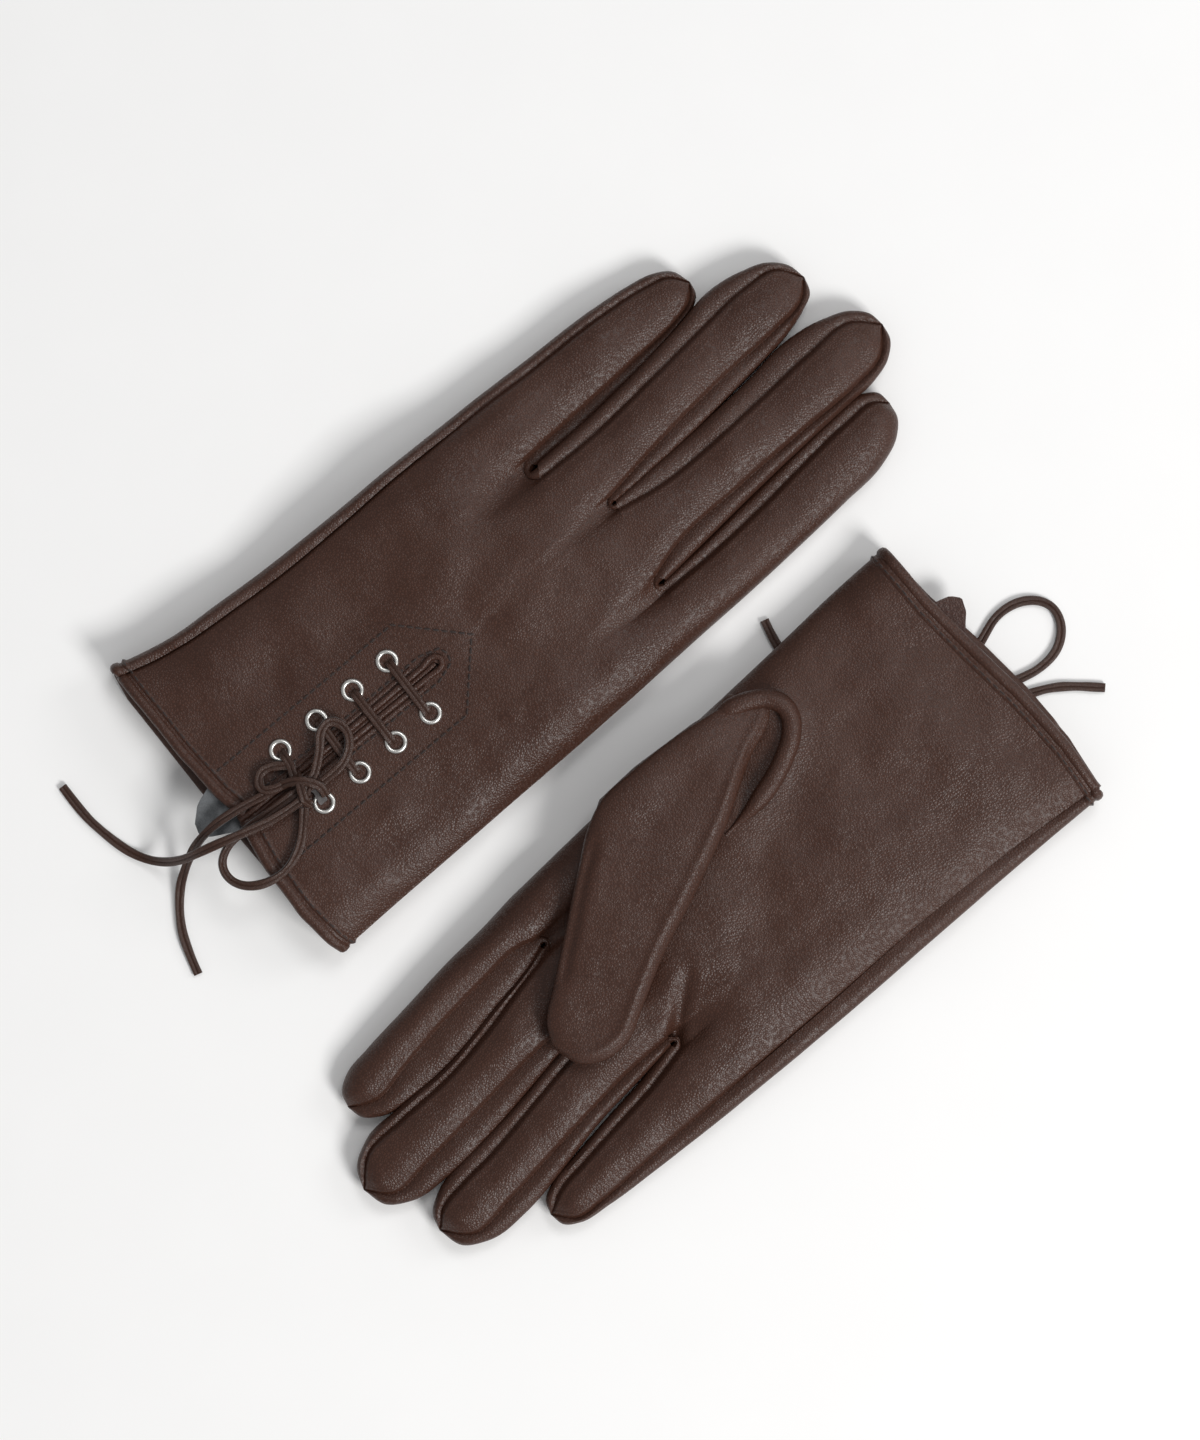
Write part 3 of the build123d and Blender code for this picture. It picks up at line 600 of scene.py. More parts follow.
def crotch_grid(fingers, name, following):
    """The fourchettes' meeting between two fingers, as a short wall under the edge of the hand."""
    t = np.linspace(0, 1, GAP_COLUMNS + 2)
    before, after = fingers[name], fingers[following]
    seam, out = (
        before["ends"][i] * (1 - t)[:, None] + after["ends"][k] * t[:, None] for i, k in ((2, 0), (3, 1))
    )
    bulge = crotch_bulge(seam[0], seam[-1], t)
    levels = [p * (1 - t) + q * t for p, q in zip(before["levels"], after["levels"])]
    return side_wall(seam + bulge, out + bulge, *levels, np.ones(GAP_COLUMNS + 2))


# ---------------------------------------------------------------- materials
def build_material(name, build):
    """A new node material.

    build gets a maker of nodes, which returns one of a node's outputs, and the place on the object. It returns
    the inputs of the shader.
    """
    material = bpy.data.materials.new(name)
    material.use_nodes = True
    tree = material.node_tree

    def feed(made, inputs):
        for key, value in inputs.items():
            if isinstance(value, bpy.types.NodeSocket):
                tree.links.new(value, made.inputs[key])
            else:
                made.inputs[key].default_value = value

    def node(kind, inputs, output=0, **values):
        made = tree.nodes.new("ShaderNode" + kind)
        for key, value in values.items():
            setattr(made, key, value)
        feed(made, inputs)
        return made.outputs[output]

    feed(tree.nodes["Principled BSDF"], build(node, node("TexCoord", {}, "Object")))
    return material


def colour_ramp(node, fac, start, end):
    """A ramp from one (place, colour) to another."""
    ramp = node("ValToRGB", {"Fac": fac})
    for element, (place, colour) in zip(ramp.node.color_ramp.elements, (start, end)):
        element.position, element.color = place, (*colour, 1)
    return ramp


def leather_material(name, dark, light, grain=1250.0, rough=(0.34, 0.43), bump=0.32):
    """Pebbled leather: cells with creases between, fine pores, drifting colour and gloss, and painted shade
    that darkens the creases.
    """

    def build(node, place):
        warp = node("TexNoise", {"Vector": place, "Scale": grain * 0.35, "Detail": 2.0}, "Color")
        moved = node("MixRGB", {"Fac": 0.00035, "Color1": place, "Color2": warp}, blend_type="ADD")
        cells = node("TexVoronoi", {"Vector": moved, "Scale": grain}, "Distance")
        edges = node("TexVoronoi", {"Vector": moved, "Scale": grain}, "Distance", feature="DISTANCE_TO_EDGE")
        pores = node("TexNoise", {"Vector": place, "Scale": grain * 3.1, "Detail": 3.0})
        broad = node("TexNoise", {"Vector": place, "Scale": 24.0, "Detail": 4.0, "Roughness": 0.6})
        crease = node("MapRange", {"Value": edges, "From Max": 0.22})
        dome = node("MapRange", {"Value": cells, "From Max": 0.75, "To Min": 1.0, "To Max": 0.2})
        height = node("Math", {0: crease, 1: dome}, operation="MULTIPLY")
        finer = node("Math", {0: pores, 1: 0.07, 2: height}, operation="MULTIPLY_ADD")
        drift = node("Math", {0: broad, 1: 0.6, 2: 0.2}, operation="MULTIPLY_ADD")
        shade = colour_ramp(node, drift, (0.25, dark), (0.75, light))
        # painted shade: the base colour is darkened towards the cells' edges, in the creases of the grain
        painted_crease_shade = node("MapRange", {"Value": crease, "To Min": 0.62, "To Max": 1.0})
        gloss = {"Value": broad, "From Min": 0.3, "From Max": 0.7, "To Min": rough[0], "To Max": rough[1]}
        return {
            "Normal": node("Bump", {"Height": finer, "Strength": bump, "Distance": 0.0004}),
            "Base Color": node("MixRGB", {"Fac": 1.0, "Color1": shade, "Color2": painted_crease_shade}, blend_type="MULTIPLY"),
            "Roughness": node("MapRange", gloss),
            "Specular IOR Level": 0.34,
        }

    return build_material(name, build)


def fibre_material(name, dark, light, scale, rough=0.9, bump=0.5, sheen=0.4):
    """Suede or cut leather: short fibres in clumps."""

    def build(node, place):
        nap = node("TexNoise", {"Vector": place, "Scale": scale, "Detail": 6.0, "Roughness": 0.75})
        clump = node("TexNoise", {"Vector": place, "Scale": scale * 0.12, "Detail": 3.0})
        both = node("Math", {0: nap, 1: clump}, operation="ADD")
        half = node("Math", {0: both, 1: 0.5}, operation="MULTIPLY")
        return {
            "Base Color": colour_ramp(node, half, (0.32, dark), (0.66, light)),
            "Normal": node("Bump", {"Height": nap, "Strength": bump, "Distance": 0.0003}),
            "Roughness": rough,
            "Sheen Weight": sheen,
        }

    return build_material(name, build)


def knit_material(name, dark, light):
    """A fine knitted lining: ribs crossed by loops."""

    def build(node, place):
        waves = []
        for way, scale, bend, detail in (("Y", 130.0, 1.5, 6.0), ("X", 190.0, 2.5, 4.0)):
            inputs = {"Vector": place, "Scale": scale, "Distortion": bend, "Detail Scale": detail}
            waves.append(node("TexWave", inputs, "Fac", bands_direction=way))
        both = node("Math", dict(enumerate(waves)), operation="MULTIPLY")
        return {
            "Base Color": colour_ramp(node, both, (0.0, dark), (1.0, light)),
            "Normal": node("Bump", {"Height": both, "Strength": 0.6, "Distance": 0.0004}),
            "Roughness": 0.95,
        }

    return build_material(name, build)


def metal_material(name, colour):
    """Bright nickel plate with fine handling marks."""

    def build(node, place):
        marks = node("TexNoise", {"Vector": place, "Scale": 900.0, "Detail": 5.0, "Distortion": 1.5})
        return {
            "Roughness": node("MapRange", {"Value": marks, "To Min": 0.22, "To Max": 0.42}),
            "Base Color": colour_ramp(node, marks, (0.3, tuple(c * 0.9 for c in colour)), (0.7, colour)),
            "Metallic": 1.0,
        }

    return build_material(name, build)


def floor_material(name):
    """Pale paper."""

    def build(node, place):
        mottle = node("TexNoise", {"Vector": place, "Scale": 30.0, "Detail": 3.0})
        return {
            "Base Color": colour_ramp(node, mottle, (0.3, (0.925, 0.925, 0.925)), (0.7, (0.935, 0.935, 0.935))),
            "Roughness": 0.95,
        }

    return build_material(name, build)


MATERIALS = {
    "glove_leather": leather_material("pebbled_hide", (0.050, 0.0192, 0.0116), (0.070, 0.0290, 0.0185)),
    "strip_leather": leather_material("strip_hide", (0.048, 0.0184, 0.0111), (0.068, 0.0282, 0.0180)),
    "edge_leather": leather_material("edge_hide", (0.049, 0.0188, 0.0114),
    (0.069, 0.0286, 0.0183), rough=(0.34, 0.42)),
    "lace_leather": leather_material("lace_hide", (0.040, 0.0180, 0.0120),
    (0.068, 0.0320, 0.0220), 1700.0, bump=0.3),
    "left_tongue_suede": fibre_material("grey_suede", (0.045, 0.048, 0.052), (0.17, 0.18, 0.19), 2600.0),
    "right_tongue_leather": leather_material("tab_hide", (0.052, 0.022, 0.016), (0.072, 0.033, 0.025)),
    "knit_lining": knit_material("knitted_lining", (0.010, 0.009, 0.009), (0.045, 0.041, 0.039)),
    "nickel": metal_material("nickel_plate", (0.80, 0.79, 0.76)),
}
PATCH_HIDE = leather_material("backing_hide", (0.046, 0.021, 0.015), (0.064, 0.030, 0.022))
CUT_SUEDE = fibre_material("cut_lace_edge", (0.035, 0.030, 0.030),
(0.135, 0.125, 0.125), 3200.0, 0.92, 0.4, 0.3)
THREAD = fibre_material("sewing_thread", (0.008, 0.004, 0.003), (0.034, 0.016, 0.012), 5200.0, 0.7, 0.3, 0.2)


# ---------------------------------------------------------------- camera, light and floor
# the camera looks straight down: its place in millimetres, height in metres, lens, turn in degrees
CAMERA_CENTRE, CAMERA_HEIGHT, CAMERA_LENS, CAMERA_TURN = (1.4, 3.8), 1.212, 120.0, 40.0
# lights: name, metres to the right and up in the picture, height, size, power, tint
LIGHTS = [
    ("key", 1.36, -1.2, 1.76, 0.85, 43.5, (1.0, 0.99, 0.975)),
    ("fill", 0.5, 1.05, 2.1, 0.8, 11.0, (1.0, 1.0, 1.0)),
    ("rim", 1.9, 0.8, 1.3, 0.8, 7.5, (1.0, 1.0, 1.0)),
]
SKY = 0.33


def build_studio():
    """The overhead camera, the pale floor, the key, fill and rim lights and a bright sky."""
    scene = bpy.context.scene
    data = bpy.data.cameras.new("camera")
    data.lens, data.clip_end = CAMERA_LENS, 20.0
    data.sensor_width, data.sensor_height, data.sensor_fit = 36.0, 43.2, "VERTICAL"
    camera = add_object("camera", data)
    camera.location = (CAMERA_CENTRE[0] * MM, CAMERA_CENTRE[1] * MM, CAMERA_HEIGHT)
    camera.rotation_euler = (0, 0, math.radians(-CAMERA_TURN))
    scene.camera = camera

    mesh = bpy.data.meshes.new("floor")
    mesh.from_pydata([(-4, -4, 0), (4, -4, 0), (4, 4, 0), (-4, 4, 0)], [], [(0, 1, 2, 3)])
    mesh.materials.append(floor_material("floor_paper"))
    add_object("floor", mesh)

    turn = math.radians(CAMERA_TURN)
    right = np.array([math.cos(turn), -math.sin(turn)])
    up = np.array([math.sin(turn), math.cos(turn)])
    for name, across, along, height, size, power, tint in LIGHTS:
        data = bpy.data.lights.new(name, "AREA")
        data.shape, data.size, data.energy, data.color = "SQUARE", size, power, tint
        lamp = add_object(name, data)
        lamp.location = (*(across * right + along * up), height)
        lamp.rotation_euler = (-lamp.location).to_track_quat("-Z", "Y").to_euler()
    world = bpy.data.worlds.new("studio")
    world.use_nodes = True
    sky = world.node_tree.nodes["Background"]
    sky.inputs["Color"].default_value = (1, 1, 1, 1)
    sky.inputs["Strength"].default_value = SKY
    scene.world = world
    scene.view_settings.view_transform = "Standard"


build_studio()


# ---------------------------------------------------------------- laces and stitches
LACE_PROFILE = [(-1.4, 0.1), (-1.22, 0.46), (-0.72, 0.58), (-0.26, 0.5), (0, 0.26), (0.26, 0.5), (0.72, 0.58),
                (1.22, 0.46), (1.4, 0.1), (1.38, -0.34), (1.15, -0.52), (0, -0.5), (-1.15, -0.52),
                (-1.38, -0.34)]
LACE_TOP = 8  # the first segments of the profile are the smooth side, the rest is the cut suede


def spline_path(points):
    """Points in millimetres along the NURBS spline that has the given control points."""
    data = bpy.data.curves.new("route", "CURVE")
    data.dimensions = "3D"
    spline = data.splines.new("NURBS")
    spline.points.add(len(points) - 1)
    for spot, (x, y, z) in zip(spline.points, points):
        spot.co = (x * MM, y * MM, z * MM, 1)
    spline.order_u, spline.use_endpoint_u = 3, True
    spline.resolution_u = 10
    route = add_object("route", data)
    mesh = bpy.data.meshes.new_from_object(route)
    path = np.array([v.co[:] for v in mesh.vertices]) / MM
    bpy.data.objects.remove(route)
    bpy.data.meshes.remove(mesh)
    bpy.data.curves.remove(data)
    gaps = np.linalg.norm(np.diff(path, axis=0), axis=1)
    return path[np.concatenate([[True], gaps > 1e-4])]


def ribbon(path, twist=((0, 0), (1, 0)), across=None, seed=0):
    """Points, faces and suede faces of a flat lace along a path. twist is (share, degrees) pairs.

    The lace lies flat, or keeps its width along across.
    """
    tangents = directions(path)
    gaps = np.linalg.norm(np.diff(path, axis=0), axis=1)
    share = np.concatenate([[0], np.cumsum(gaps)]) / gaps.sum()
    if across is None:
        side = np.cross(tangents, (0.0, 0.0, 1.0))
    else:
        across = np.array(across, float)
        side = across - tangents * (tangents @ across)[:, None]
    side /= np.maximum(np.linalg.norm(side, axis=1, keepdims=True), 1e-6)
    face = np.cross(side, tangents)
    angle = np.radians(level(twist, share)) + 0.10 * np.sin(share * 17 + seed)
    cos, sin = np.cos(angle)[:, None], np.sin(angle)[:, None]
    side, face = side * cos + face * sin, face * cos - side * sin
    swell = 1 + 0.05 * np.sin(share * 31 + seed * 2.1)
    grid = np.stack([path + side * (a * swell)[:, None] + face * b for a, b in LACE_PROFILE], 1)
    rows, count = grid.shape[:2]
    points, faces = ring_part(grid)
    return points, faces, [k for k in range(len(faces)) if k % count >= LACE_TOP or k >= (rows - 1) * count]


def capsules(path, normals, pitch=2.8, length=2.05, radius=0.27, sink=0.08):
    """Stitches along a path as small rounded bars."""
    gaps = np.linalg.norm(np.diff(path, axis=0), axis=1)
    s = np.concatenate([[0], np.cumsum(gaps)])
    turns = np.linspace(0, 2 * math.pi, 9)[:-1]
    parts = []
    for k in range(int(s[-1] / pitch)):
        at = (k + 0.5) * pitch
        near = [np.interp([at - 0.3, at + 0.3, at], s, path[:, i]) for i in range(3)]
        before, after, middle = np.stack(near, 1)
        along = after - before
        along /= np.linalg.norm(along)
        normal = np.array([np.interp(at, s, normals[:, i]) for i in range(3)])
        normal -= along * normal.dot(along)
        normal /= np.linalg.norm(normal)
        across = np.cross(along, normal)
        rings = []
        for shift, grow in ((-0.5, 0.35), (-0.38, 0.86), (0.0, 1.0), (0.38, 0.86), (0.5, 0.35)):
            rise = radius * 0.75 - sink - 0.5 * abs(shift) * radius
            centre = middle + along * shift * length + normal * rise
            ways = [math.cos(t) * across + 0.8 * math.sin(t) * normal for t in turns]
            rings.append([centre + grow * radius * way for way in ways])
        parts.append(ring_part(np.array(rings)))
    return parts


def tube_along(path, half_width, half_height, up, count=12):
    """A closed roll along a path."""
    tangents = directions(path)
    side = np.cross(tangents, np.array(up, float))
    side /= np.linalg.norm(side, axis=1, keepdims=True)
    face = np.cross(side, tangents)
    turns = np.linspace(0, 2 * math.pi, count + 1)[:-1]
    rings = [path + side * half_width * math.cos(t) + face * half_height * math.sin(t) for t in turns]
    return ring_part(np.stack(rings, 1))


# ---------------------------------------------------------------- one glove
EYELET_X, EYELET_OUT = (-77.5, -63.5, -49.5, -36.0), 10.1
# an eyelet's outline: radius, and height above the leather
EYELET_PROFILE = [(2.15, -2.9), (2.12, 0.15), (2.3, 0.55), (2.75, 0.74), (3.2, 0.6), (3.55, 0.16),
                  (3.55, -0.12), (2.6, -0.1), (2.5, -2.9)]
EYELET_SIDES = 40
LACING_TURN = (-13.0, 22.2)  # the right glove's lacing is the left one's, carried through a point
# the lining: the hand's rows that it follows, its distance from the leather, and its thickness
LINING_ROWS, LINING_GAP, LINING_THICKNESS = slice(3, 118, 3), 0.5, 0.5
HEM_SEAM = (4.5, 0.42)  # where the hem's stitches lie: from the edge, and above the leather
# the hem's outline: distance from the cuff's edge, and height above the leather
HEM_PROFILE = [(6.0, -0.4), (5.4, 0.12), (4.8, 0.5), (4.2, 0.5), (3.75, 0.1), (3.45, -0.2), (3.1, -0.2),
               (2.8, 0.15), (2.3, 0.58), (1.2, 0.7), (0.2, 0.4), (-0.35, -0.3), (-0.45, -0.95), (-0.2, -1.5),
               (0.6, -1.9), (2.6, -2.05), (5.6, -2.05)]
# the slit's bound lips in one roll, and lower rolls in and beside it: line, half width, height above the
# leather, half height
LIPS = [
    ([(-100.2, 49.7), (-60, 49.6), (-29, 49.9), (-26, 50.6), (-24, 50.1), (-23, 48.4), (-24, 46.6),
      (-26, 46.1), (-29, 46.5), (-60, 46.9), (-100.2, 46.9)], 0.95, 0.3, 0.75),
    ([(-100.0, 48.2), (-60, 48.2), (-29, 48.2), (-25.5, 48.4)], 0.75, -0.15, 0.6),
    ([(-100.0, 51.6), (-60, 51.4), (-32, 51.9)], 0.8, -0.12, 0.45),
    ([(-100.0, 45.0), (-60, 45.1), (-32, 44.7)], 0.8, -0.12, 0.45),
]
# the outline of the backing patch, and the line beside the lips
PATCH_STITCHES = [
    [(-96.5, 65.5), (-28, 65.5), (-11.5, 48), (-28, 30.4), (-97, 30.4)],
    [(-96.5, 43.6), (-28, 43.4), (-21.6, 45.4), (-20.6, 48.2), (-21.6, 51), (-28, 53), (-96.5, 52.9)],
]
# the laces across the slit, from and to
BARS = [((-35.8, 56.8), (-36.6, 39.0)), ((-49.6, 56.8), (-50.2, 39.0)), ((-63.2, 56.8), (-64.2, 39.0))]
# strands of the knot: x and y at the left slit, height above the leather, whether it starts in an eyelet
KNOT_STRANDS = [
    ([(-84.0, 45.7, 2.6), (-80.5, 45.4, 2.6), (-77, 44, 2.9), (-73.2, 42.8, 3.2)], False),
    ([(-83.6, 42.4, 4.2), (-80, 43.2, 4.4), (-77, 45, 4.2), (-73.2, 46.6, 3.6)], False),
    ([(-77.5, 59.0, -2.4), (-77.5, 57.2, 1.2), (-77.8, 53, 2.0), (-79.4, 49.5, 2.3), (-80, 46, 2.4)], True),
    ([(-77.5, 37.0, -2.4), (-77.5, 39.0, 1.2), (-76.6, 41.4, 1.9), (-76.8, 44.5, 2.2), (-78, 47, 2.4)], True),
    ([(-75.6, 39.2, 2.2), (-74.6, 41.6, 4.6), (-76.6, 45.4, 5.6), (-80.2, 48.8, 5.2),
      (-83.4, 49.9, 3.0)], False),
    ([(-80.6, 39.9, 1.6), (-81.4, 41.2, 5.0), (-80.2, 44.4, 6.0), (-78.6, 47.8, 5.0),
      (-78.2, 49.4, 2.2)], False),
    ([(-82, 49.4, 2.8), (-87.6, 50.6, 2.9), (-89.6, 53.6, 2.4), (-86.6, 57.2, 1.6), (-82, 56.2, 1.6),
      (-79, 53.4, 1.6)], False),
]
# the control points of each free lace
ROUTES = {
    LEFT: {
        "bow_loop_a": [
            (-73.5, 46.5, 21.6), (-68.5, 50.0, 21.8), (-65.0, 54.6, 21.9), (-60.4, 55.8, 21.4),
            (-58.0, 51.6, 21.0), (-59.4, 46.6, 21.2), (-64.0, 43.4, 21.6), (-69.0, 42.6, 21.6),
            (-73.5, 42.8, 21.2),
        ],
        "bow_loop_b": [
            (-83.0, 40.5, 20.6), (-87.0, 36.0, 20.0), (-92.0, 31.8, 19.5), (-98.5, 29.4, 19.4),
            (-105.5, 30.0, 19.5), (-111.5, 33.4, 18.9), (-114.2, 38.6, 18.2), (-112.8, 43.8, 18.4),
            (-107.5, 46.6, 19.6), (-100.0, 46.6, 20.3), (-92.0, 45.9, 20.4), (-84.0, 45.6, 20.6),
        ],
        "lace_end_a": [
            (-83.0, 42.6, 22.4), (-91.0, 43.2, 22.6), (-99.5, 45.6, 22.8), (-108.0, 48.2, 22.8),
            (-115.0, 50.2, 20.2), (-120.8, 51.8, 14.4), (-126.0, 54.6, 7.8), (-130.4, 59.0, 2.8),
            (-133.6, 65.0, 1.2), (-135.6, 73.5, 1.1), (-136.9, 83.0, 1.1), (-136.2, 93.0, 1.1),
        ],
        "lace_end_b": [
            (-83.0, 49.6, 20.8), (-91.0, 51.3, 19.8), (-99.0, 53.0, 19.5), (-106.5, 53.8, 19.7),
            (-113.0, 53.4, 17.2), (-118.0, 52.2, 11.2), (-123.2, 50.0, 5.2), (-128.5, 46.8, 1.7),
            (-133.8, 40.8, 1.1), (-138.4, 33.0, 1.1), (-141.2, 23.0, 1.1),
        ],
    },
    RIGHT: {
        "bow_loop_a": [
            (73.5, -60.0, 1.1), (67.0, -64.6, 1.1), (60.0, -68.8, 1.1), (52.0, -71.0, 1.1),
            (45.0, -69.4, 1.1), (41.4, -64.4, 1.1), (43.4, -59.2, 1.1), (50.0, -56.6, 1.1),
            (58.0, -56.2, 1.1), (66.0, -56.8, 1.1), (73.5, -56.6, 1.1),
        ],
        "bow_loop_b": [
            (83.5, -54.4, 1.1), (91.0, -54.6, 1.1), (99.0, -54.2, 1.1), (106.5, -51.6, 1.1),
            (113.5, -49.0, 1.1), (121.0, -49.8, 1.1), (126.6, -53.6, 1.1), (128.8, -59.0, 1.1),
            (126.6, -65.0, 1.1), (121.0, -69.2, 1.1), (113.5, -70.0, 1.1), (106.0, -68.2, 1.1),
            (98.5, -65.4, 1.1), (91.0, -61.8, 1.1), (83.5, -59.4, 1.1),
        ],
        "lace_end_a": [
            (83.5, -62.6, 1.1), (90.0, -67.0, 1.1), (97.5, -70.6, 1.1), (105.0, -73.2, 1.1),
            (112.0, -76.2, 1.1), (118.6, -81.0, 1.1), (124.8, -87.0, 1.1),
        ],
        "lace_end_b": [
            (73.5, -52.6, 1.1), (68.0, -47.4, 1.1), (63.0, -40.0, 1.1), (59.4, -32.0, 1.1),
            (57.0, -23.0, 1.1), (56.4, -14.0, 1.1), (59.0, -5.0, 1.1),
        ],
    },
}
# how each free lace turns about its own line, in (share, degrees)
TWISTS = {
    "bow_loop_a": ((0, 0), (0.35, -25), (0.65, 25), (1, 0)),
    "bow_loop_b": ((0, 0), (0.3, 35), (0.6, -50), (1, 0)),
    "lace_end_a": ((0, 0), (0.5, 15), (0.8, -12), (1, 10)),
    "lace_end_b": ((0, 0), (0.4, -18), (0.75, 14), (1, 0)),
}
# the tongues: height, which way the cuff is, and the end as y and x
TONGUE = {
    LEFT: (14.7, -1, [(34.6, -95), (40, -97), (46, -100), (49, -105), (52, -110.6), (54.5, -112.6),
        (58, -111.4), (62, -107), (64.2, -100)]),
    RIGHT: (7.5, 1, [(-60.6, 99), (-54, 100.5), (-48, 102), (-45, 104), (-42, 106.8), (-38, 108.4),
        (-35.2, 106), (-33.4, 100)]),
}
# the right thumb: its edges on the side of the index finger and of the palm, and its valleys
THUMB_HI = [(43, -25.6), (40.5, -21.2), (34, -17.6), (22, -15.2), (0, -14.0), (-14, -14.8), (-22, -18.5),
            (-32, -26), (-46, -37), (-60, -48), (-69, -55.5), (-72.4, -62.5)]
THUMB_LO = [(43, -25.6), (41, -27.8), (29, -33.4), (10, -44.5), (-10, -54), (-30, -62.5), (-44, -70),
            (-53, -74.8), (-62, -75), (-69, -71), (-72.4, -62.5)]
THUMB_FLOOR = 16.35
THUMB_TURN = (-11.0, 23.25)  # the left thumb is the right one, carried through a point
THUMB_VALLEYS = [
    ([(-20, -21), (-32, -29), (-46, -40), (-60, -51)], 0.9, 1.5),
    ([(30, -24), (10, -26), (-14, -32)], 0.5, 5.0),
]
THUMB_TIP = 13.0 / 125.0  # the share of the thumb over which its tip closes


def placed(side, points):
    """Points of the left glove's lacing, where that side has them."""
    return np.asarray(points, float) if side == LEFT else carried(points, *LACING_TURN)


def hand_normals(loop, centre):
    """Outward normals of a grid that wraps a closed loop."""
    n = normals_of(np.concatenate([loop[:, -2:], loop, loop[:, :2]], axis=1))[:, 2:-2]
    return n * (1 if np.sum(n * (loop - centre)) > 0 else -1)


def build_hem(side, loop):
    """The turned hem round the cuff, and its row of stitches."""
    centre = loop.mean(axis=(0, 1))
    normals = hand_normals(loop, centre)
    spacing = np.linalg.norm(loop[1:8] - loop[:7], axis=2).mean()

    def spot(s, offset):
        i = max(s / spacing, 0.0)
        k, f = int(i), i - int(i)
        base = loop[k] * (1 - f) + loop[k + 1] * f + min(s, 0.0) / spacing * (loop[1] - loop[0])
        return base + offset * normals[k]

    outline = np.stack([spot(s, offset) for s, offset in HEM_PROFILE])
    hem = mesh_object(side + "_cuff_hem_skin", [ring_part(outline, wrap=True)], "edge_leather")
    settle(hem, side + "_hand", side + "_cuff_hem")
    line = spot(*HEM_SEAM)
    line, turned = (np.concatenate([p, p[:1]]) for p in (line, normals[3]))
    settle(mesh_object(side + "_hem_stitches", capsules(line, turned), "lace_leather", THREAD), side + "_hand")


def surface_line(tree, side, line, step=1.0):
    """The points of a broken line on the hand's face, with its normals. line is in the left glove's x and y."""
    flat = []
    for (ax, ay), (bx, by) in zip(line, line[1:]):
        count = max(2, int(math.dist((ax, ay), (bx, by)) / step))
        flat += [(ax + (bx - ax) * k / count, ay + (by - ay) * k / count) for k in range(count)]
    flat.append(line[-1])
    way = -1.0 if side == LEFT else 1.0
    path, normals = [], []
    for x, y in flat:
        px, py, _ = placed(side, (x, y, 0))
        hit, normal, _, _ = tree.ray_cast(Vector((px, py, -60 * way)), Vector((0, 0, way)))
        if hit:
            path.append(hit[:])
            normals.append(normal * (1 if normal.z * -way > 0 else -1))
    return np.array(path), np.array([n[:] for n in normals])


def build_lacing(side, tree):
    """Eyelets, slit lips, stitching and the crossing laces."""
    hand = side + "_hand"
    parts = []
    turns = [2 * math.pi * k / EYELET_SIDES for k in range(EYELET_SIDES)]
    for x in EYELET_X:
        for out in (EYELET_OUT, -EYELET_OUT):
            rings = [[(x + r * math.cos(t), SLIT_Y + out + r * math.sin(t), SLIT_Z + 0.05 + z) for t in turns]
                     for r, z in EYELET_PROFILE]
            parts.append(ring_part(placed(side, rings), wrap=True))
    eyelets = mesh_object(side + "_eyelet_rings", parts, "nickel", sharp_deg=60)
    settle(eyelets, hand, side + "_eyelets")

    lips = []
    for line, half, rise, tall in LIPS:
        path, normals = surface_line(tree, side, line, 0.7)
        lips.append(tube_along(path + rise * normals, half, tall, (0, 0, 1 if side == LEFT else -1)))
    settle(mesh_object(side + "_slit_lips", lips, "edge_leather"), hand, side + "_slit_binding")

    parts = []
    for line in PATCH_STITCHES:
        path, normals = surface_line(tree, side, line)
        parts += capsules(path, normals, pitch=2.6, length=1.9, radius=0.3, sink=-0.05)
    settle(mesh_object(side + "_patch_stitches", parts, "lace_leather", THREAD), hand)

    parts = []
    for k, ((ax, ay), (bx, by)) in enumerate(BARS):
        points = [
            (ax, ay + 1.3, SLIT_Z - 2.4), (ax, ay + 1.0, SLIT_Z + 0.9),
            (ax * 0.9 + bx * 0.1, ay - 2.2, SLIT_Z + 1.9), ((ax + bx) / 2, (ay + by) / 2, SLIT_Z + 2.1),
            (ax * 0.1 + bx * 0.9, by + 2.2, SLIT_Z + 1.9),
            (bx, by - 1.0, SLIT_Z + 0.9), (bx, by - 1.3, SLIT_Z - 2.4),
        ]
        points, *faces = ribbon(spline_path(points), across=(-1, 0, 0), seed=k)
        parts.append((placed(side, points), *faces))
    bars = mesh_object(side + "_lace_crossings", parts, "lace_leather", sharp_deg=40)
    settle(bars, hand, side + "_lace_bars")


def build_laces(side):
    """The bow: its knot, and each free loop and end as a strap."""
    hand = side + "_hand"
    parts = []
    for k, (strand, in_eyelet) in enumerate(KNOT_STRANDS):
        points = placed(side, [(x, y, SLIT_Z + h) for x, y, h in strand])
        if side == RIGHT:
            # the right knot is pressed flat under the glove
            points[:, 2] = [LACING_TURN[1] - SLIT_Z - (min(0.6 * h, 3.0) if h > 0 else h) for *_, h in strand]
        parts.append(ribbon(spline_path(points), across=(-1, 0, 0) if in_eyelet else None, seed=k))
    knot = mesh_object(side + "_bow_knot_strands", parts, "lace_leather", sharp_deg=40)
    settle(knot, hand, side + "_bow_knot")
    for k, (name, points) in enumerate(ROUTES[side].items()):
        path = spline_path(points)
        twist = TWISTS[name] if side == LEFT else ((0, 0), (0.5, 6), (1, 0))
        strap = [ribbon(path, twist, seed=k + 3)]
        piece = mesh_object(f"{side}_{name}_strap", strap, "lace_leather", sharp_deg=40)
        settle(piece, hand, f"{side}_{name}")
        [c * MM for c in points[0]]
        "object" if "loop" in name else "bare"


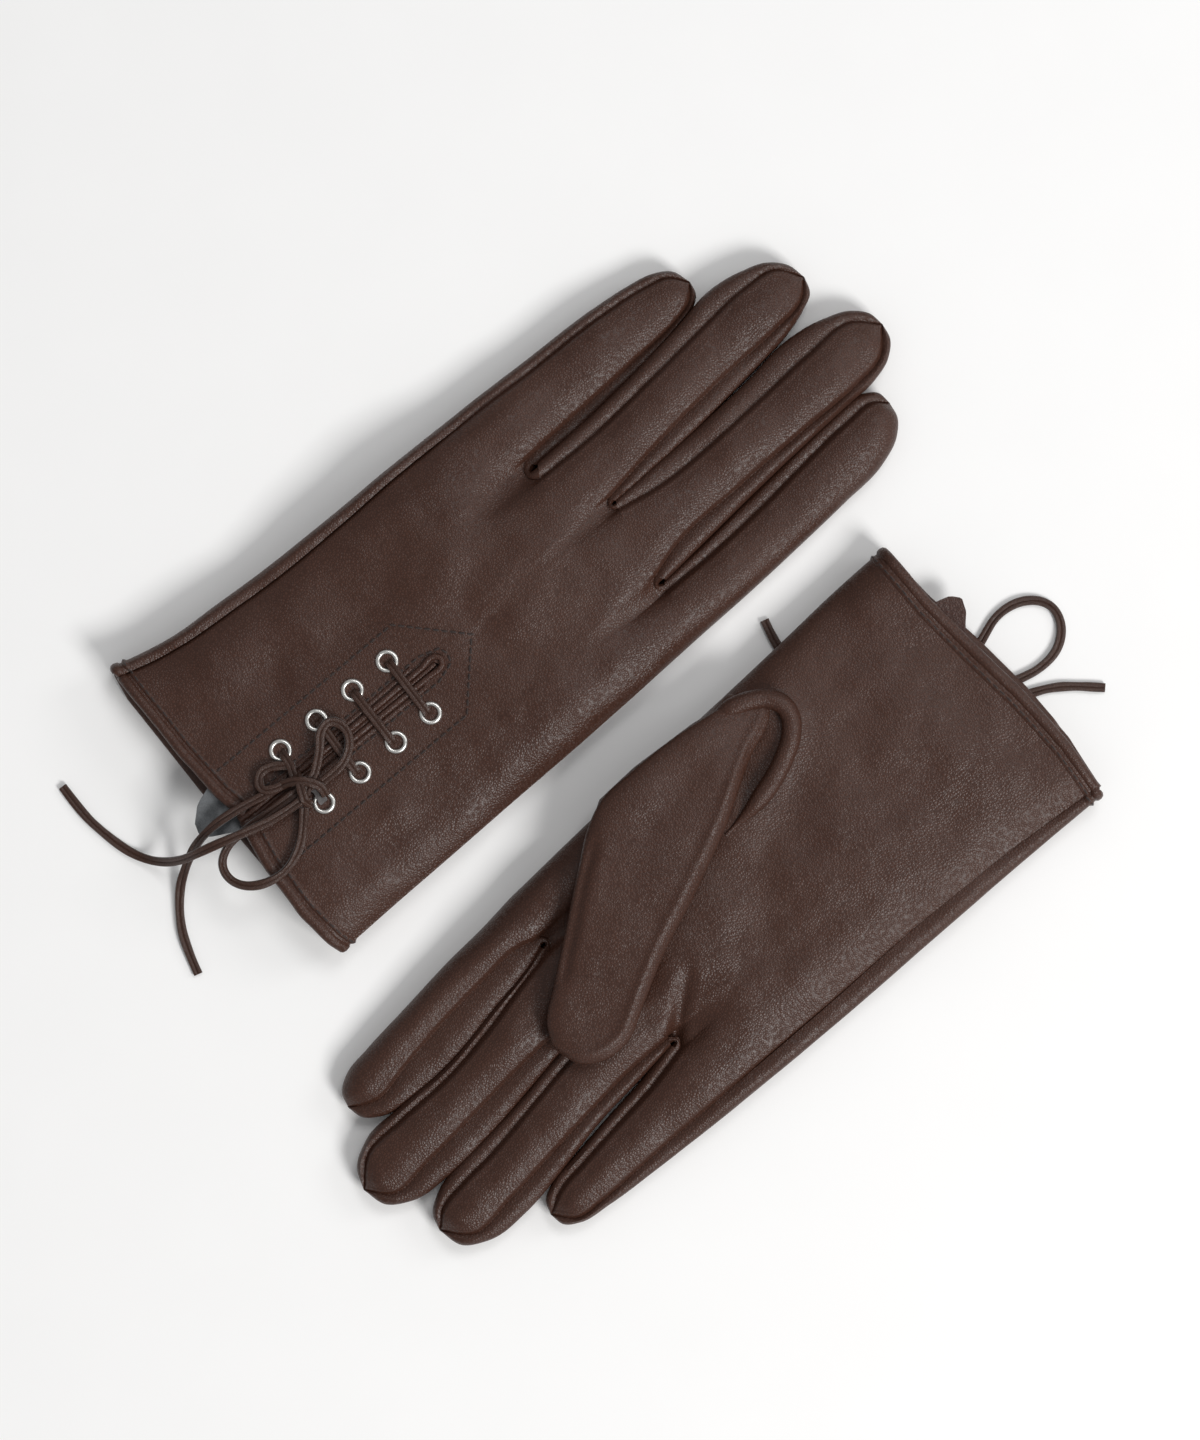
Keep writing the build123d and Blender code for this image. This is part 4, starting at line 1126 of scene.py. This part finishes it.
def build_tongue(side):
    """The tongue behind the slit, whose end shows past the cuff."""
    height, way, outline = TONGUE[side]
    y = np.linspace(outline[0][0], outline[-1][0], 34)
    ends = np.interp(y, *zip(*outline))
    share = np.linspace(0, 1, 60)[:, None]
    x = way * 22.0 * (1 - share) + ends[None] * share
    yy = np.repeat(y[None], 60, axis=0)
    lift = 0.2 * ripple(x, yy, 11.0, 9) + 0.4 * smooth((share - 0.86) / 0.14)
    grid = np.stack([x, yy, height + lift], -1)
    inner = grid.copy()
    inner[:, :, 2] += 0.95 * way
    slot = "left_tongue_suede" if side == LEFT else "right_tongue_leather"
    piece = mesh_object(side + "_tongue_tab", [shell(grid, inner)], slot)
    settle(piece, side + "_hand", side + "_tongue")


def build_thumb(side):
    """The folded thumb: an outer and an inner panel that meet along both edges."""
    share = 1 - (1 - np.linspace(0, 1, 110)) ** 1.3
    lo, hi = through(THUMB_LO, share), through(THUMB_HI, share)
    crown = level([(0, 18.2), (0.22, 22.4), (0.6, 23.0), (0.86, 21.6), (1, 20.4)], share)
    floor = np.full(len(share), THUMB_FLOOR)
    middle = floor + 0.5 * (crown - floor)
    across = crowded(42)
    width = np.linalg.norm(hi - lo, axis=1)[:, None]
    from_lo, from_hi = across * width, (1 - across) * width
    closing = rounded(share, THUMB_TIP)[:, None]
    shape = edge_share(from_lo, 4.6) * edge_share(from_hi, 8.0)
    xy = rungs(lo, hi, across)
    x, y = xy[:, :, 0], xy[:, :, 1]
    for part, goal in (("outer", crown), ("inner", floor)):
        z = middle[:, None] + (goal - middle)[:, None] * shape * closing
        if part == "outer":
            z = z + 0.6 * np.exp(-(((from_lo - 3.4) / 1.5) ** 2)) * closing  # the ridge of the lower edge
            for line, depth, half in THUMB_VALLEYS:
                away, along = line_distance(x, y, line)
                z = z - depth * np.exp(-((away / half) ** 2)) * smooth(along * 6) * smooth((1 - along) * 6)
            z = z + (0.25 * ripple(x, y, 13.0, 5) + 0.10 * ripple(x, y, 5.0, 6)) * shape * closing
        grid = raised(xy, z)
        if side == LEFT:
            grid = carried(grid, *THUMB_TURN)
        centre = grid.mean(axis=1)
        centre[:, 2] = middle if side == RIGHT else THUMB_TURN[1] - middle
        piece = mesh_object(f"{side}_thumb_{part}_skin", [skin(grid, centre, 0.9)], "glove_leather")
        settle(piece, side + "_thumb", f"{side}_thumb_{part}")


def build_thumb_root(side):
    """The leather that joins the thumb's upper edge to the side of the hand."""
    low, far = (9.0, 8.0) if side == RIGHT else (12.5, 6.5)
    edge = sorted((x, y) if side == RIGHT else (-x, THUMB_TURN[0] - y) for x, y in HAND[side]["a_edge"])
    upper = sorted(THUMB_HI[:8])
    rows = []
    for x in np.linspace(-24, 41, 60):
        e, h = (np.interp(x, *zip(*line)) for line in (edge, upper))
        outer = through(
            [(e - 0.7, low), (max(e, h) - 0.1, low + 3.5), (h + 0.35, 16.6), (h - 0.5, 18.6), (h - 3.2, 18.4)],
            np.linspace(0, 1, 18),
        )
        inner = through([(h - 5.0, 17.0), (e - far, 14.0), (e - far + 2, 12.0)], np.linspace(0, 1, 8))
        loop = np.concatenate([outer, inner])
        keep = 0.15 + 0.85 * min(smooth((x + 24) / 10), smooth((41 - x) / 6))  # the ends close on a core
        core = np.array([h - 2.5, 16.8])
        loop = core + (loop - core) * keep
        rows.append(np.column_stack([np.full(len(loop), x), loop]))
    grid, joint = np.stack(rows), np.array([[0, -14.0, 13.5], [0, -14.0, 16.8]])
    if side == LEFT:
        grid, joint = carried(grid, *THUMB_TURN), carried(joint, *THUMB_TURN)
    root = mesh_object(side + "_thumb_root", [ring_part(grid)], "glove_leather", sharp_deg=80)
    start, end = (tuple(float(c) * MM for c in p) for p in joint)
    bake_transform(root)
    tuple(start)
    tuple(end)


def build_base_roll():
    """The folded edge of the right palm round the thumb's base, which the thumb turns over."""
    share = np.linspace(0, 1, 90)
    grow = smooth(share * 7) * smooth((1 - share) * 4)
    path = np.concatenate([through(BASE_ROLL, share), (16.3 + 1.5 * grow)[:, None]], axis=1)
    side = np.cross(directions(path), (0.0, 0.0, 1.0))
    wide, tall = (0.5 + 2.5 * grow)[:, None], (0.3 + 2.5 * grow)[:, None]
    rings = []
    for t in np.linspace(0, 2 * math.pi, 25)[:-1]:
        rise = tall * math.sin(t) * (1 + 0.04 * np.sin(share * 40)[:, None])
        rings.append(path + side * wide * math.cos(t) + rise * np.array([0, 0, 1.0]))
    settle(mesh_object("right_thumb_base_roll", [ring_part(np.stack(rings, 1))], "glove_leather"), "right_hand")


def build_glove(side):
    """Every piece of one glove, from the leather panels to the laces."""
    hand = side + "_hand"
    way = 1 if side == LEFT else -1
    fingers = {name: build_finger(side, name) for name in FINGERS}
    top, under = (dressed(hand_grid(side, fingers, part)) for part in ("top", "under"))
    strip = dressed(side_strip_grid(side, fingers))

    # the trank, with its slit cut out
    grid = c_shape(under, top)
    slit_y = SLIT_Y if side == LEFT else LACING_TURN[0] - SLIT_Y
    middle = (grid[:-1, :-1] + grid[1:, 1:]) / 2
    facing = middle[:, :, 2] > 10 if side == LEFT else middle[:, :, 2] < 8
    in_slit = (np.abs(middle[:, :, 1] - slit_y) < 0.9) & (-way * middle[:, :, 0] > 25) & facing
    trank = skin(grid, grid.mean(axis=1), keep=~in_slit)
    settle(mesh_object(side + "_trank_skin", [trank], "glove_leather"), hand, side + "_trank")
    band = skin(strip, (top.mean(axis=1) + under.mean(axis=1)) / 2)
    settle(mesh_object(side + "_side_strip_skin", [band], "strip_leather"), hand, side + "_side_strip")

    # crotches
    parts = []
    for name, following in zip(FINGERS, FINGERS[1:]):
        wall = dressed(crotch_grid(fingers, name, following))
        parts.append(skin(wall, wall.mean(axis=1) - np.array([way * 8.0, 0, 0])))
    settle(mesh_object(side + "_crotch_walls", parts, "strip_leather"), hand, side + "_fourchette_roots")

    # lining
    loop = np.concatenate([top, strip[:, 1:-1], under[:, ::-1][:, :-1]], axis=1)
    normals = hand_normals(loop, loop.mean(axis=1, keepdims=True))
    sleeve = (loop - normals * (SKIN + LINING_GAP))[LINING_ROWS, ::2]
    sleeve = np.concatenate([sleeve, sleeve[:, :1]], axis=1)
    sleeve = skin(sleeve, sleeve.mean(axis=1), LINING_THICKNESS)
    settle(mesh_object(side + "_lining_sleeve", [sleeve], "knit_lining"), hand, side + "_lining")

    build_hem(side, loop)

    # fingers
    faces_up, faces_down = ("back", "palm") if side == LEFT else ("palm", "back")
    for name, grids in fingers.items():
        upper = grids["top"].copy()
        upper[:, :, 2] -= grids["groove"]
        upper, lower = dressed(upper), dressed(grids["under"])
        walls = [dressed(grids[key]) for key in ("a_wall", "b_wall") if key in grids]
        if name == "index":
            panels = [("wrap", [c_shape(lower, upper)]), ("fourchette", walls)]
        else:
            panels = [(faces_up, [upper]), (faces_down, [lower]), ("fourchettes", walls)]
        for panel, panel_grids in panels:
            parts = [skin(g, grids["centre"], grids["thickness"]) for g in panel_grids]
            slot = "strip_leather" if panel_grids is walls else "glove_leather"
            piece = mesh_object(f"{side}_{name}_{panel}_skin", parts, slot)
            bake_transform(piece)
            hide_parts(f"{side}_{name}_{panel}")

    face = top if side == LEFT else under
    points = [Vector(p) for p in face.reshape(-1, 3)]
    build_lacing(side, BVHTree.FromPolygons(points, sheet_faces(*face.shape[:2])))
    build_laces(side)
    build_tongue(side)
    build_thumb(side)
    build_thumb_root(side)


for glove_side in (LEFT, RIGHT):
    build_glove(glove_side)
build_base_roll()

# the pieces of the CAD that show as they are
for node_name, finish in (("lacing_patch", PATCH_HIDE), ("eyelet_washers", MATERIALS["nickel"])):
    for glove_side in (LEFT, RIGHT):
        node = bpy.data.objects[f"{glove_side}_{node_name}"]
        node.data.materials.clear()
        node.data.materials.append(finish)
